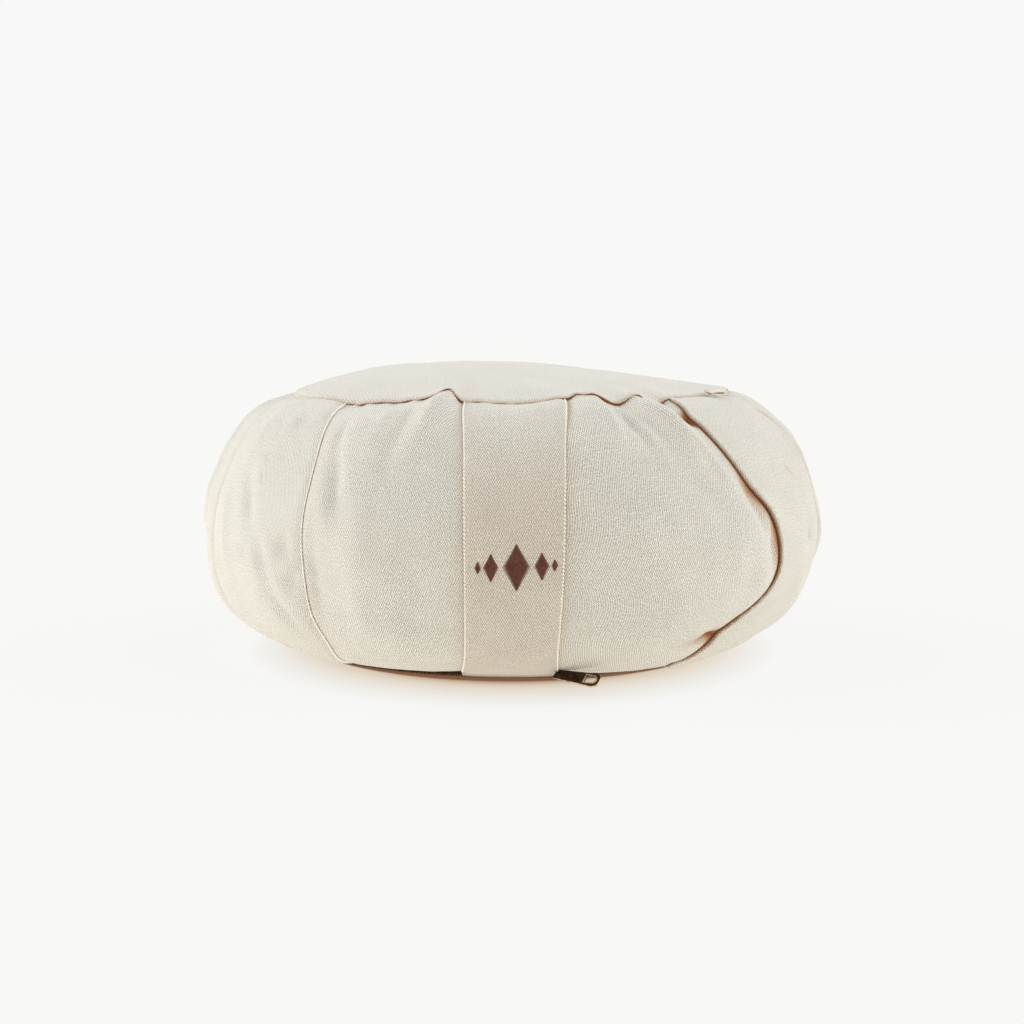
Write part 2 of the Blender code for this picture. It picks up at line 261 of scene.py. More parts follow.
FOLD_EDGE = (
    # down, azimuth of the open fold's edge, which wanders more than a sewn edge does
    (0.00, 41.4),
    (0.08, 39.8),
    (0.155, 39.2),
    (0.23, 40.7),
    (0.30, 43.0),
    (0.36, 45.4),
    (0.413, 50.2),
    (0.455, 52.0),
    (0.50, 53.4),
    (0.55, 53.7),
    (0.60, 52.5),
    (0.64, 48.8),
    (0.67, 45.0),
    (0.71, 42.0),
    (0.78, 40.0),
    (0.88, 38.8),
    (1.00, 38.3),
)
FOLD_SAMPLES, FOLD_EASE = 400, 15
fold_downs = np.linspace(0, 1, FOLD_SAMPLES + 1)
fold_line = np.pad(np.interp(fold_downs, *np.array(FOLD_EDGE).T), FOLD_EASE, mode="edge")
fold_window = np.hanning(2 * FOLD_EASE + 3)[1:-1]
fold_line = np.convolve(fold_line, fold_window, mode="valid") / fold_window.sum()
STRIP_EDGES = np.array([[left, right] for name, left, right, push in STRIPS])
STRIP_PUSHES = np.array([push for name, left, right, push in STRIPS])
COLUMNS = SECTOR_STEPS * len(STRIPS)


def around(azimuth, radius, height):
    """Points at an azimuth, a radius from the axis and a height."""
    angle = np.radians(azimuth)
    x, y, z = np.broadcast_arrays(radius * np.sin(angle), -radius * np.cos(angle), height)
    return np.stack([x, y, z], axis=-1)


def strip_edge(index, side, down):
    """The azimuth of a strip's left (0) or right (1) edge, a smooth curve through five values."""
    values = STRIP_EDGES[index % len(STRIPS), side]
    place = np.clip(down, 0, 1) * 4
    step = np.minimum(place, 3).astype(int)
    part = place - step
    shape = np.broadcast_shapes(np.shape(index), np.shape(down))
    values = np.broadcast_to(values, (*shape, 5))
    step, part = np.broadcast_to(step, shape), np.broadcast_to(part, shape)

    def pick(k):
        return np.take_along_axis(values, np.clip(k, 0, 4)[..., None], -1)[..., 0]

    before, start, end, after = pick(step - 1), pick(step), pick(step + 1), pick(step + 2)
    leave, arrive = (end - before) / 2, (after - start) / 2
    curve = start + leave * part + (3 * (end - start) - 2 * leave - arrive) * part**2
    curve = curve + (2 * (start - end) + leave + arrive) * part**3
    if side == 0:
        opened = np.interp(down, fold_downs, fold_line)
        curve = np.where(index % len(STRIPS) == OPEN_FOLD, opened, curve)
    return curve + 360 * (index // len(STRIPS))


def split(column):
    """Which sector a column is in, and how far into it."""
    index = np.floor(np.asarray(column, float) / SECTOR_STEPS).astype(int)
    return index, np.asarray(column, float) - index * SECTOR_STEPS


def column_azimuth(column, down):
    """Columns follow the strips' edges: those of a strip, then those of the cloth after it."""
    index, step = split(column)
    left, right = strip_edge(index, 0, down), strip_edge(index, 1, down)
    following = strip_edge(index + 1, 0, down)
    in_strip = left + (right - left) * step / STRIP_STEPS
    in_gore = right + (following - right) * (step - STRIP_STEPS) / GORE_STEPS
    return np.where(step <= STRIP_STEPS, in_strip, in_gore)


def smooth(value):
    """0 below 0, 1 above 1, and eased between."""
    value = np.clip(value, 0, 1)
    return value * value * (3 - 2 * value)


def bell(away, width):
    """1 at no distance, fading out smoothly over about a width."""
    return np.exp(-((away / width) ** 2))


def turn_from(azimuth, at):
    """How far an azimuth is round from another, from -180 to 180 degrees."""
    return (azimuth - at + 180) % 360 - 180


def bumps(rows, azimuth, total):
    """Adds a bump around the cushion for each row: its azimuth, half width and height."""
    for at, half, height in rows:
        total = total + height * bell(turn_from(azimuth, at), half)
    return total


def open_cloth(column, reach=0.9):
    """0 under a strip, 1 in the open cloth, eased over the columns beside the strip."""
    step = split(column)[1]
    return smooth(np.minimum(step - STRIP_STEPS, SECTOR_STEPS - step) / reach)


def stand_out(column, down):
    """How far the wall stands out: as its strips do, and further where open cloth lies between."""
    index, step = split(column)
    here = STRIP_PUSHES[index % len(STRIPS)]
    following = STRIP_PUSHES[(index + 1) % len(STRIPS)]
    part = np.clip((step - STRIP_STEPS) / GORE_STEPS, 0, 1)
    gore = GORE_BULGE * (4 * part * (1 - part)) ** GORE_FULLNESS
    return (here + (following - here) * part + gore) * np.sin(np.pi * down)


def fold_height(azimuth, down):
    """The gathers and creases at one place of the wall."""
    total = np.zeros(np.broadcast_shapes(np.shape(azimuth), np.shape(down)))
    for at_top, at_foot, width, height, top, foot in FOLDS:
        along = np.clip((down - top) / (foot - top), 0, 1)
        away = turn_from(azimuth - at_top, (at_foot - at_top) * along)
        if top == 0:
            fade = np.cos(np.pi / 2 * along) ** 2
        elif foot == 1:
            fade = np.sin(np.pi / 2 * along) ** 2
        else:
            fade = np.sin(np.pi * along) ** 2
        total = total + height * fade * bell(away, width)
    return total


def seam_tilt(azimuth):
    """The top seam is not quite level, and sways up and down a little."""
    return bumps(SEAM_SWAYS, azimuth, SEAM_TILT * np.sin(np.radians(azimuth)))


def wall_point(column, down, outward=0.0):
    """A point of the wall, or of a layer that lies outward of it. The fill sags half way down."""
    angle = np.pi * down
    azimuth = column_azimuth(column, down)
    push = stand_out(column, down) + open_cloth(column) * fold_height(azimuth, down) + outward
    fullness = WALL_FULLNESS + WALL_SLIMMER_RIGHT * np.maximum(np.sin(np.radians(azimuth)), 0) ** 2
    waist = np.maximum(np.sin(angle), 0)
    radius = SEAM_RADIUS + WALL_BULGE * waist**fullness + push * waist
    height = (WALL_TOP + WALL_FOOT) / 2 + ((WALL_TOP - WALL_FOOT) / 2 + push) * np.cos(angle)
    sag = WALL_SAG - WALL_SAG_LEFT * np.sin(np.radians(azimuth))
    return around(azimuth, radius, height - sag * waist**2 + seam_tilt(azimuth) * (1 - down))


def seam_lift(column):
    azimuth = column_azimuth(column, 0.0)
    return open_cloth(column) * fold_height(azimuth, 0.0) + seam_tilt(azimuth)


def top_point(column, share, raised=0.0):
    azimuth = column_azimuth(column, 0.0)
    lean = 1 - CROWN_LEAN * share * np.sin(np.radians(azimuth))
    height = TOP_SEAM_HEIGHT + GROOVE_HALF + seam_lift(column) * share**GATHER_INTO_PANEL
    height = height + CROWN * lean * np.maximum(1 - share**2, 0) ** CROWN_FULLNESS
    return around(azimuth, SEAM_RADIUS * share, height + raised)


def foot_point(column, share):
    radius = SEAM_RADIUS * share
    rise = np.maximum(radius - BASE_RADIUS, 0.0) / (SEAM_RADIUS - BASE_RADIUS)
    return around(column_azimuth(column, 1.0), radius, (FOOT_SEAM_HEIGHT - GROOVE_HALF) * rise**2)


def lofted(name, rings, start, end):
    """A closed form: a sphere with its rings moved onto the given ones, its poles to the ends."""
    rows, columns = rings.shape[:2]
    bpy.ops.mesh.primitive_uv_sphere_add(segments=columns, ring_count=rows + 1, radius=1.0)
    made = bpy.context.object
    made.name = made.data.name = name
    place = np.empty(len(made.data.vertices) * 3)
    made.data.vertices.foreach_get("co", place)
    place = place.reshape(-1, 3)
    row = np.rint(np.arccos(np.clip(place[:, 2], -1, 1)) / np.pi * (rows + 1)).astype(int) - 1
    column = np.rint(np.arctan2(place[:, 0], -place[:, 1]) / math.tau * columns)
    column = column.astype(int) % columns
    moved = rings[np.clip(row, 0, rows - 1), column]
    moved[row < 0] = start
    moved[row == rows] = end
    made.data.vertices.foreach_set("co", moved.ravel())
    made.data.update()
    made.data.shade_smooth()
    made.select_set(False)
    return made, row, column


def lay_weave(made, row, column, across, along):
    """The piece's UV map, in the metres of cloth that across and along give for its corners."""
    mesh = made.data
    while mesh.uv_layers:
        mesh.uv_layers.remove(mesh.uv_layers[0])
    layer = mesh.uv_layers.new(name="weave")
    corners = np.empty(len(mesh.loops), int)
    mesh.loops.foreach_get("vertex_index", corners)
    sizes = np.empty(len(mesh.polygons), int)
    mesh.polygons.foreach_get("loop_total", sizes)
    face = np.repeat(np.arange(len(sizes)), sizes)
    rows, cols = row[corners], column[corners].astype(float)
    last = cols.max()
    top = np.zeros(len(sizes))
    np.maximum.at(top, face, cols)
    cols = np.where((top[face] >= last) & (cols < last / 2), last + 1, cols)
    upper = np.full(len(sizes), 10**6)
    np.minimum.at(upper, face, rows)
    lower = np.zeros(len(sizes), int)
    np.maximum.at(lower, face, rows)
    spot = np.empty((len(mesh.loops), 2))
    spot[:, 0] = across(rows, cols, upper[face], lower[face], corners)
    spot[:, 1] = along(rows, cols, upper[face], lower[face], corners)
    layer.data.foreach_set("uv", spot.ravel())


# Stations: metres of cloth from the top's centre over the wall to the foot's centre.
BLOW_STEPS, BLOW_FRAMES = 3, 20
BLOW_CAP = 0.005
BLOW_TOP_SHARE = 0.3
BLOW_CLOTH = {
    "quality": 6, "mass": 0.4, "tension_stiffness": 30, "compression_stiffness": 30,
    "shear_stiffness": 12, "bending_stiffness": 6.0, "use_pressure": True,
    "uniform_pressure_force": 4.0, "vertex_group_mass": "held",
}
SPARE_TOP, SPARE_MIDDLE, SPARE_FOOT = 0.16, 0.02, 0.08
FINE_STEPS = 6


def station_rings(top_shares, downs, foot_shares):
    rings = [("top", s) for s in top_shares] + [("top_groove", 1.0)]
    rings += [("wall", d) for d in downs] + [("foot_groove", 1.0)]
    return rings + [("foot", s) for s in foot_shares]


def station(kind, value):
    if kind in ("top", "top_groove"):
        return SEAM_RADIUS * value
    if kind == "wall":
        return SEAM_RADIUS + 1e-4 + (WALL_LENGTH - 2e-4) * value
    return SEAM_RADIUS + WALL_LENGTH + SEAM_RADIUS * (1 - value)


def ring_points(kind, value, column):
    if kind == "top":
        return top_point(column, value)
    if kind == "wall":
        return wall_point(column, value)
    if kind == "foot":
        return foot_point(column, value)
    if kind == "top_groove":
        height = TOP_SEAM_HEIGHT + seam_lift(column)
        return around(column_azimuth(column, 0.0), SEAM_RADIUS - TOP_GROOVE, height)
    return around(column_azimuth(column, 1.0), SEAM_RADIUS - GROOVE_DEPTH, FOOT_SEAM_HEIGHT)


coarse_rings = station_rings(
    [*np.linspace(0.04, 0.96, 24), 1.0], np.linspace(0, 1, 57), [1.0, 0.94, 0.875, 0.6, 0.3]
)
coarse_columns = np.arange(COLUMNS * BLOW_STEPS) / BLOW_STEPS
coarse = np.stack([ring_points(kind, value, coarse_columns) for kind, value in coarse_rings])
COARSE_STATIONS = np.array([station(kind, value) for kind, value in coarse_rings])
blown = np.zeros_like(coarse)


def spare_cloth(column, down):
    """How far round the uncut cloth lies from its place: a gore is cut wider than its seams."""
    index, step = split(column)
    fullness = SPARE_TOP + (SPARE_MIDDLE - SPARE_TOP) * smooth(down / 0.45)
    fullness = fullness + (SPARE_FOOT - SPARE_MIDDLE) * smooth((down - 0.6) / 0.4)
    width = strip_edge(index + 1, 0, down) - strip_edge(index, 1, down)
    before = strip_edge(index, 0, down) - strip_edge(index - 1, 1, down)
    in_gore = width * ((step - STRIP_STEPS) / GORE_STEPS - 0.5)
    in_strip = before / 2 - (before + width) / 2 * step / STRIP_STEPS
    return fullness * np.where(step > STRIP_STEPS, in_gore, in_strip)


def turned(points, degrees):
    """Points turned around the cushion's axis."""
    cosine, sine = np.cos(np.radians(degrees)), np.sin(np.radians(degrees))
    x, y, z = np.moveaxis(points, -1, 0)
    return np.stack([x * cosine - y * sine, x * sine + y * cosine, z], axis=-1)


def vertex_places(mesh):
    places = np.empty(len(mesh.vertices) * 3)
    mesh.vertices.foreach_get("co", places)
    return places.reshape(-1, 3)


balloon, row, column = lofted("balloon", coarse, top_point(0.0, 0.0), foot_point(0.0, 0.0))
slack = balloon.vertex_groups.new(name="held")
sewn = split(coarse_columns)[1] <= STRIP_STEPS
for spot, (ring, at) in enumerate(zip(row, column)):
    kind, value = coarse_rings[min(max(ring, 0), len(coarse_rings) - 1)]
    on_wall, at_seam = kind == "wall", value == 1.0 or (kind == "wall" and value == 0.0)
    fixed = at_seam or kind == "foot" or (on_wall and sewn[at])
    slack.add([spot], 1.0 if fixed else 0.0, "REPLACE")
balloon.shape_key_add(name="sewn")
uncut = balloon.shape_key_add(name="uncut")
wide = coarse.copy()
for ring, (kind, value) in enumerate(coarse_rings):
    if kind == "wall":
        wide[ring] = turned(coarse[ring], spare_cloth(coarse_columns, value))
spread = vertex_places(balloon.data)
inside = (row >= 0) & (row < len(coarse_rings))
spread[inside] = wide[row[inside], column[inside]]
uncut.data.foreach_set("co", spread.ravel())
cloth = balloon.modifiers.new("blown", "CLOTH")
cloth.settings.rest_shape_key = uncut
for setting, value in BLOW_CLOTH.items():
    setattr(cloth.settings, setting, value)
cloth.settings.effector_weights.gravity = 0.0
cloth.collision_settings.use_collision = False
for number in range(1, BLOW_FRAMES + 1):
    bpy.context.scene.frame_set(number)
filled = balloon.evaluated_get(bpy.context.evaluated_depsgraph_get())
blown[row[inside], column[inside]] = vertex_places(filled.data)[inside]
blown -= coarse
reach = np.linalg.norm(blown, axis=-1, keepdims=True)
blown *= np.minimum(1, BLOW_CAP / np.maximum(reach, 1e-9))
blown[COARSE_STATIONS < SEAM_RADIUS] *= BLOW_TOP_SHARE
bpy.data.objects.remove(balloon)
bpy.context.scene.frame_set(1)


def blown_out(column, at):
    """What the simulation did at a column and a station, read smoothly off the coarse copy."""
    column, at = np.broadcast_arrays(np.asarray(column, float), at)
    place = (column * BLOW_STEPS) % blown.shape[1]
    first = place.astype(int)
    second = (first + 1) % blown.shape[1]
    part = (place - first)[..., None]
    ring = np.clip(np.searchsorted(COARSE_STATIONS, at) - 1, 0, len(COARSE_STATIONS) - 2)
    down = (at - COARSE_STATIONS[ring]) / (COARSE_STATIONS[ring + 1] - COARSE_STATIONS[ring])
    down = np.clip(down, 0, 1)[..., None]
    upper = blown[ring, first] * (1 - part) + blown[ring, second] * part
    lower = blown[ring + 1, first] * (1 - part) + blown[ring + 1, second] * part
    return upper * (1 - down) + lower * down


def waves(turns, along, length, seed, girth=1.0, count=16):
    """Even, seamless unevenness of about 1 high: waves of about a length, running every way."""
    chance = np.random.default_rng(seed)
    total = 0.0
    for way, scale, phase in chance.uniform(0, 1, (count, 3)):
        pitch = math.tau / length * (0.6 + 0.8 * scale)
        laps = round(pitch * girth * math.cos(math.tau * way))
        climb = pitch * math.sin(math.tau * way)
        total = total + np.cos(laps * turns + climb * along + math.tau * phase)
    return total / math.sqrt(count / 2)


def puckers(azimuth):
    """The small gathers that a seam draws up, unevenly spaced about 8 to 15 mm apart."""
    turns = np.radians(azimuth)
    uneven = 0.6 + 0.4 * np.cos(7 * turns + 1.0) * np.cos(3 * turns)
    fine = 0.8 * np.cos(83 * turns + 2.1) + 0.5 * np.cos(107 * turns)
    return uneven * (np.cos(61 * turns + 0.4) + fine) / 1.6


LUMP, LUMP_LENGTH = 0.0007, 0.055
RIPPLE, RIPPLE_LENGTH = 0.00022, 0.020
PUCKER, PUCKER_REACH = 0.0005, 0.008
LIP_ROLL, LIP_ROLL_REACH, LIP_REACH, LIP_RISE_REACH = 0.0005, 0.0009, 0.0017, 0.0022
FOOT_ROLL_AT, FOOT_ROLL_HALF = 0.95, 0.035
FOOT_ROLLS = (
    # azimuth, how far the wall rolls down over the zip
    (-180.0, 0.0013),
    (-60.0, 0.0013),
    (-25.0, 0.0007),
    (-8.0, 0.0003),
    (8.0, 0.0003),
    (18.0, 0.0011),
    (38.0, 0.0022),
    (60.0, 0.0020),
    (100.0, 0.0013),
    (180.0, 0.0013),
)
POCKET_DEPTH, POCKET_REACH, POCKET_GROOVE, POCKET_UNDER = 0.0008, 0.20, 0.55, 0.6
POCKETS = (
    # down, half length along the fold, reach away from it in columns, how deep
    (0.150, 0.030, 0.45, 1.0),
    (0.400, 0.050, 0.50, 0.7),
    (0.500, 0.045, 0.32, 0.9),
    (0.620, 0.050, 0.25, 0.8),
    (0.722, 0.022, 1.60, 1.3),
)
UNDER_STRIP = 0.0018
SEAM_GAP = 0.00016
CALM_SEAM = (
    # azimuth, half width in degrees, how much less the top seam shows there
    (-82.0, 36.0, -0.88),
    (76.0, 26.0, -0.55),
)
SEAM_GAPS = (
    # azimuth, half width in degrees, how far the two lips stay apart
    (-12.4, 1.0, 0.0004),
    (12.8, 1.2, 0.0005),
    (23.0, 3.2, 0.0006),
    (37.5, 2.0, 0.0005),
    (68.0, 3.0, 0.0004),
    (139.0, 3.0, 0.0005),
    (193.5, 3.0, 0.0005),
    (257.0, 3.0, 0.0005),
)
DENT_DEPTH = 1.9
DENTS = (
    # azimuth, down, half width and half length in mm, lean, height in mm, open cloth only
    (19.5, 0.14, 3.2, 17, 8, 1.0, True),
    (24.2, 0.15, 3.6, 17, 12, -1.5, True),
    (28.0, 0.19, 3.5, 13, 16, -0.9, True),
    (33.2, 0.18, 3.5, 15, 22, 1.1, True),
    (37.2, 0.26, 3.0, 15, 30, 0.9, True),
    (38.6, 0.16, 3.0, 6, 35, -2.0, True),
    (46.0, 0.41, 3.5, 13, 28, -1.7, True),
    (50.6, 0.50, 2.5, 9, 8, -1.8, True),
    (38.5, 0.73, 6.0, 4, -20, -2.2, True),
    (-16.5, 0.12, 3.5, 17, -10, 0.9, True),
    (-21.5, 0.18, 4.5, 18, -8, -0.9, True),
    (-26.5, 0.14, 4.0, 15, -4, 0.6, True),
    (-32.0, 0.33, 4.5, 14, 12, -1.3, True),
    (-34.8, 0.20, 4.0, 12, 10, -0.8, True),
    (-48.5, 0.158, 6.0, 5, 0, -1.1, False),
    (-42.8, 0.465, 4.5, 5, 40, -1.0, False),
    (-40.6, 0.545, 3.6, 6, 0, -0.9, False),
    (-41.8, 0.507, 2.6, 6, 70, 0.6, False),
    (-55.0, 0.38, 4.5, 15, 30, -1.2, False),
    (-48.5, 0.51, 4.5, 13, 22, -1.2, False),
    (-43.5, 0.63, 4.0, 14, 30, -1.1, False),
    (-60.0, 0.20, 5.0, 14, 12, 0.8, False),
    (-64.0, 0.45, 5.0, 30, 10, 0.7, False),
    (-84.0, 0.35, 4.0, 45, 2, 1.2, True),
    (-91.0, 0.40, 4.0, 50, 0, -1.2, True),
    (72.0, 0.30, 6.0, 24, -16, 0.8, False),
    (66.0, 0.52, 6.0, 20, 24, -0.8, False),
)


def dents(column, azimuth, down):
    """The gathers, pinches and hollows that show one by one, each a long soft bump or hollow."""
    loose = open_cloth(column, 0.35)
    total = 0.0
    for at, level, half, reach, lean, height, only_open in DENTS:
        side = np.radians(turn_from(azimuth, at)) * WALL_RADIUS * 1000
        along = (down - level) * WALL_LENGTH * 1000
        cosine, sine = math.cos(math.radians(lean)), math.sin(math.radians(lean))
        across, length = side * cosine - along * sine, along * cosine + side * sine
        form = np.exp(-((across / half) ** 2) - (length / reach) ** 2)
        total = total + DENT_DEPTH * height / 1000 * form * (loose if only_open else 1.0)
    return total


def seam_show(azimuth):
    """How plainly the top seam shows: less where the panel is stretched smooth over it."""
    return bumps(CALM_SEAM, azimuth, 1.0)


def seam_gap(azimuth):
    """Half the gap between the top seam's lips: almost shut, open a little beside the gathers."""
    return bumps(SEAM_GAPS, azimuth, SEAM_GAP * seam_show(azimuth))


def pocket(column, down):
    """How deep the open cloth dips beside the open fold: a narrow groove, with hollows along it."""
    index, step = split(column)
    beside = np.where(index % len(STRIPS) == OPEN_FOLD - 1, SECTOR_STEPS - step, np.inf)
    under = np.where(index % len(STRIPS) == OPEN_FOLD, step * POCKET_UNDER, np.inf)
    away = np.minimum(beside, under)
    total = POCKET_GROOVE * bell(away, POCKET_REACH)
    for at, half, reach, depth in POCKETS:
        total = total + depth * bell(down - at, half) * bell(away, reach)
    return total


def covered(column):
    """1 under the middle of a strip, easing to 0 at its edges and in the open cloth."""
    step = split(column)[1]
    return np.where(step < STRIP_STEPS, smooth(np.minimum(step, STRIP_STEPS - step) / 0.7), 0.0)


def wall_detail(column, down):
    """The open cloth's fine relief: lumps of the fill, ripples, puckers at the seams."""
    azimuth = column_azimuth(column, down)
    turns, along = np.radians(azimuth), down * WALL_LENGTH
    free = np.sin(np.pi * np.clip(down, 0, 1))
    total = free * LUMP * waves(turns, along, LUMP_LENGTH, 3, girth=WALL_RADIUS)
    ripples = waves(turns, along, RIPPLE_LENGTH, 5, girth=WALL_RADIUS)
    total = total + free * RIPPLE * open_cloth(column) * ripples
    near = np.exp(-along / PUCKER_REACH) + 0.7 * np.exp(-(WALL_LENGTH - along) / PUCKER_REACH)
    total = total + (0.35 + 0.65 * open_cloth(column)) * PUCKER * near * puckers(azimuth)
    roll = np.interp(turn_from(azimuth, 0), *np.array(FOOT_ROLLS).T)
    total = total + roll * bell(down - FOOT_ROLL_AT, FOOT_ROLL_HALF)
    hollows = dents(column, azimuth, down) - POCKET_DEPTH * pocket(column, down)
    return total + smooth(free / 0.25) * hollows


def wall_lip(column, down):
    """The wall's edge rolls up to meet the top panel's."""
    azimuth = column_azimuth(column, 0.0)
    rise = (GROOVE_HALF - seam_gap(azimuth)) * bell(down * WALL_DROP, LIP_RISE_REACH)
    return around(azimuth, -0.0003 * rise / GROOVE_HALF, rise)


def fine_point(kind, value, column):
    """A point of the finished body: the cut shape, what the fill did to it, and its seams."""
    if kind == "top":
        inward = SEAM_RADIUS * (1 - value)
        x, y, z = np.moveaxis(top_point(column, value), -1, 0)
        lumps = np.sin(x * 74 + 0.5) * np.cos(y * 61) + np.sin(y * 103 + x * 55)
        raised = 0.6 * LUMP * lumps * smooth(inward / 0.02)
        azimuth = column_azimuth(column, 0.0)
        raised = raised + 0.7 * PUCKER * np.exp(-inward / 0.007) * puckers(azimuth + 1.7)
        raised = raised - (GROOVE_HALF - seam_gap(azimuth)) * bell(inward, LIP_REACH)
        moved = top_point(column, value, raised) + blown_out(column, station(kind, value))
        return moved + around(azimuth, LIP_ROLL * bell(inward, LIP_ROLL_REACH), 0.0)
    if kind == "wall":
        push = wall_detail(column, value) - UNDER_STRIP * covered(column) * np.sin(np.pi * value)
        moved = wall_point(column, value, push) + blown_out(column, station(kind, value))
        return moved + wall_lip(column, value)
    return ring_points(kind, value, column)


near_lip = [0.92, 0.938, 0.953, 0.966, 0.976, 0.984, 0.990, 0.995, 0.9985]
top_shares = [*np.linspace(0.03, 0.90, 30), *near_lip]
near_top = [0.0, 0.004, 0.008, 0.013, 0.019, 0.026, 0.034, 0.043, 0.052]
downs = [*near_top, *np.linspace(0.062, 0.938, 84), *[1 - d for d in near_top[::-1]]]
foot_shares = [1.0, 0.99, 0.97, 0.94, 0.905, 0.875, 0.7, 0.45, 0.2]
fine_rings = station_rings(top_shares, downs, foot_shares)
fine_columns = np.arange(COLUMNS * FINE_STEPS) / FINE_STEPS
body = np.stack([fine_point(kind, value, fine_columns) for kind, value in fine_rings])
body[..., 2] = np.maximum(body[..., 2], 0.0)
crown_top = top_point(0.0, 0.0) + blown[0].mean(axis=0)
cushion, row, column = lofted("filled_cushion", body, crown_top, foot_point(0.0, 0.0))

# The weave stays square on the wall: rows level, and warps upright from the middle of each gore.
kinds = [kind for kind, value in fine_rings]
top_groove, foot_groove = kinds.index("top_groove"), kinds.index("foot_groove")
ring_downs = [value if kind == "wall" else float("foot" in kind) for kind, value in fine_rings]
ring_downs = np.array(ring_downs)
ring_radii = np.hypot(body[..., 0], body[..., 1]).mean(axis=1)
ring_heights = body[..., 2].mean(axis=1)
drop = np.linalg.norm(np.diff(body, axis=0), axis=-1).mean(axis=1)
fall = np.concatenate([[0], np.cumsum(drop)])
fall -= fall[(top_groove + foot_groove) // 2]
WEAVE_CENTRE = (0.118, 0.072)
on_profile = slice(foot_groove, top_groove - 1, -1)
profile = np.arctan2(ring_heights - WEAVE_CENTRE[1], ring_radii - WEAVE_CENTRE[0])[on_profile]
flat_place = vertex_places(cushion.data)


def cushion_across(rows, cols, upper, lower, corners):
    on_wall = (upper >= top_groove) & (lower <= foot_groove)
    ring = np.clip(rows, 0, len(fine_rings) - 1)
    at, level = cols / FINE_STEPS, ring_downs[ring]
    gore = np.floor((at - STRIP_STEPS / 2) / SECTOR_STEPS).astype(int)
    middle = (strip_edge(gore, 1, level) + strip_edge(gore + 1, 0, level)) / 2
    side = np.radians(column_azimuth(at, level) - middle) * ring_radii[ring]
    return np.where(on_wall, side, flat_place[corners, 0])


def cushion_along(rows, cols, upper, lower, corners):
    on_wall = (upper >= top_groove) & (lower <= foot_groove)
    x, y, z = flat_place[corners].T
    turn = np.arctan2(z - WEAVE_CENTRE[1], np.hypot(x, y) - WEAVE_CENTRE[0])
    return np.where(on_wall, -np.interp(turn, profile, fall[on_profile]), flat_place[corners, 1])


lay_weave(cushion, row, column, cushion_across, cushion_along)
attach(cushion, "root")
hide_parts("cushion")


# Cotton canvas, plain woven with fine doubled warps and a thicker weft: a grid of pillows in rows.
# Unbleached, so a warm off-white, matt, with a faint fuzz and slubs in the weft. Painted shade darkens the
# hollows between the yarns, and a rust-warm painted shade lies in its folds and seams.
WARP_PITCH, WEFT_PITCH, YARN_RELIEF = 0.00059, 0.00111, 0.00011
# The cloth's yarn crowns and the painted shade in its yarn gaps, then the rust and the deep brown of the
# shade painted into its folds and seams.
CANVAS_LIGHT, CANVAS_YARN_GAP_SHADE, CANVAS_PAINTED_SHADE = "#fdfdf8", "#959289", "#d39b66"
CANVAS_PAINTED_DEEP_SHADE = "#8a3a0c"


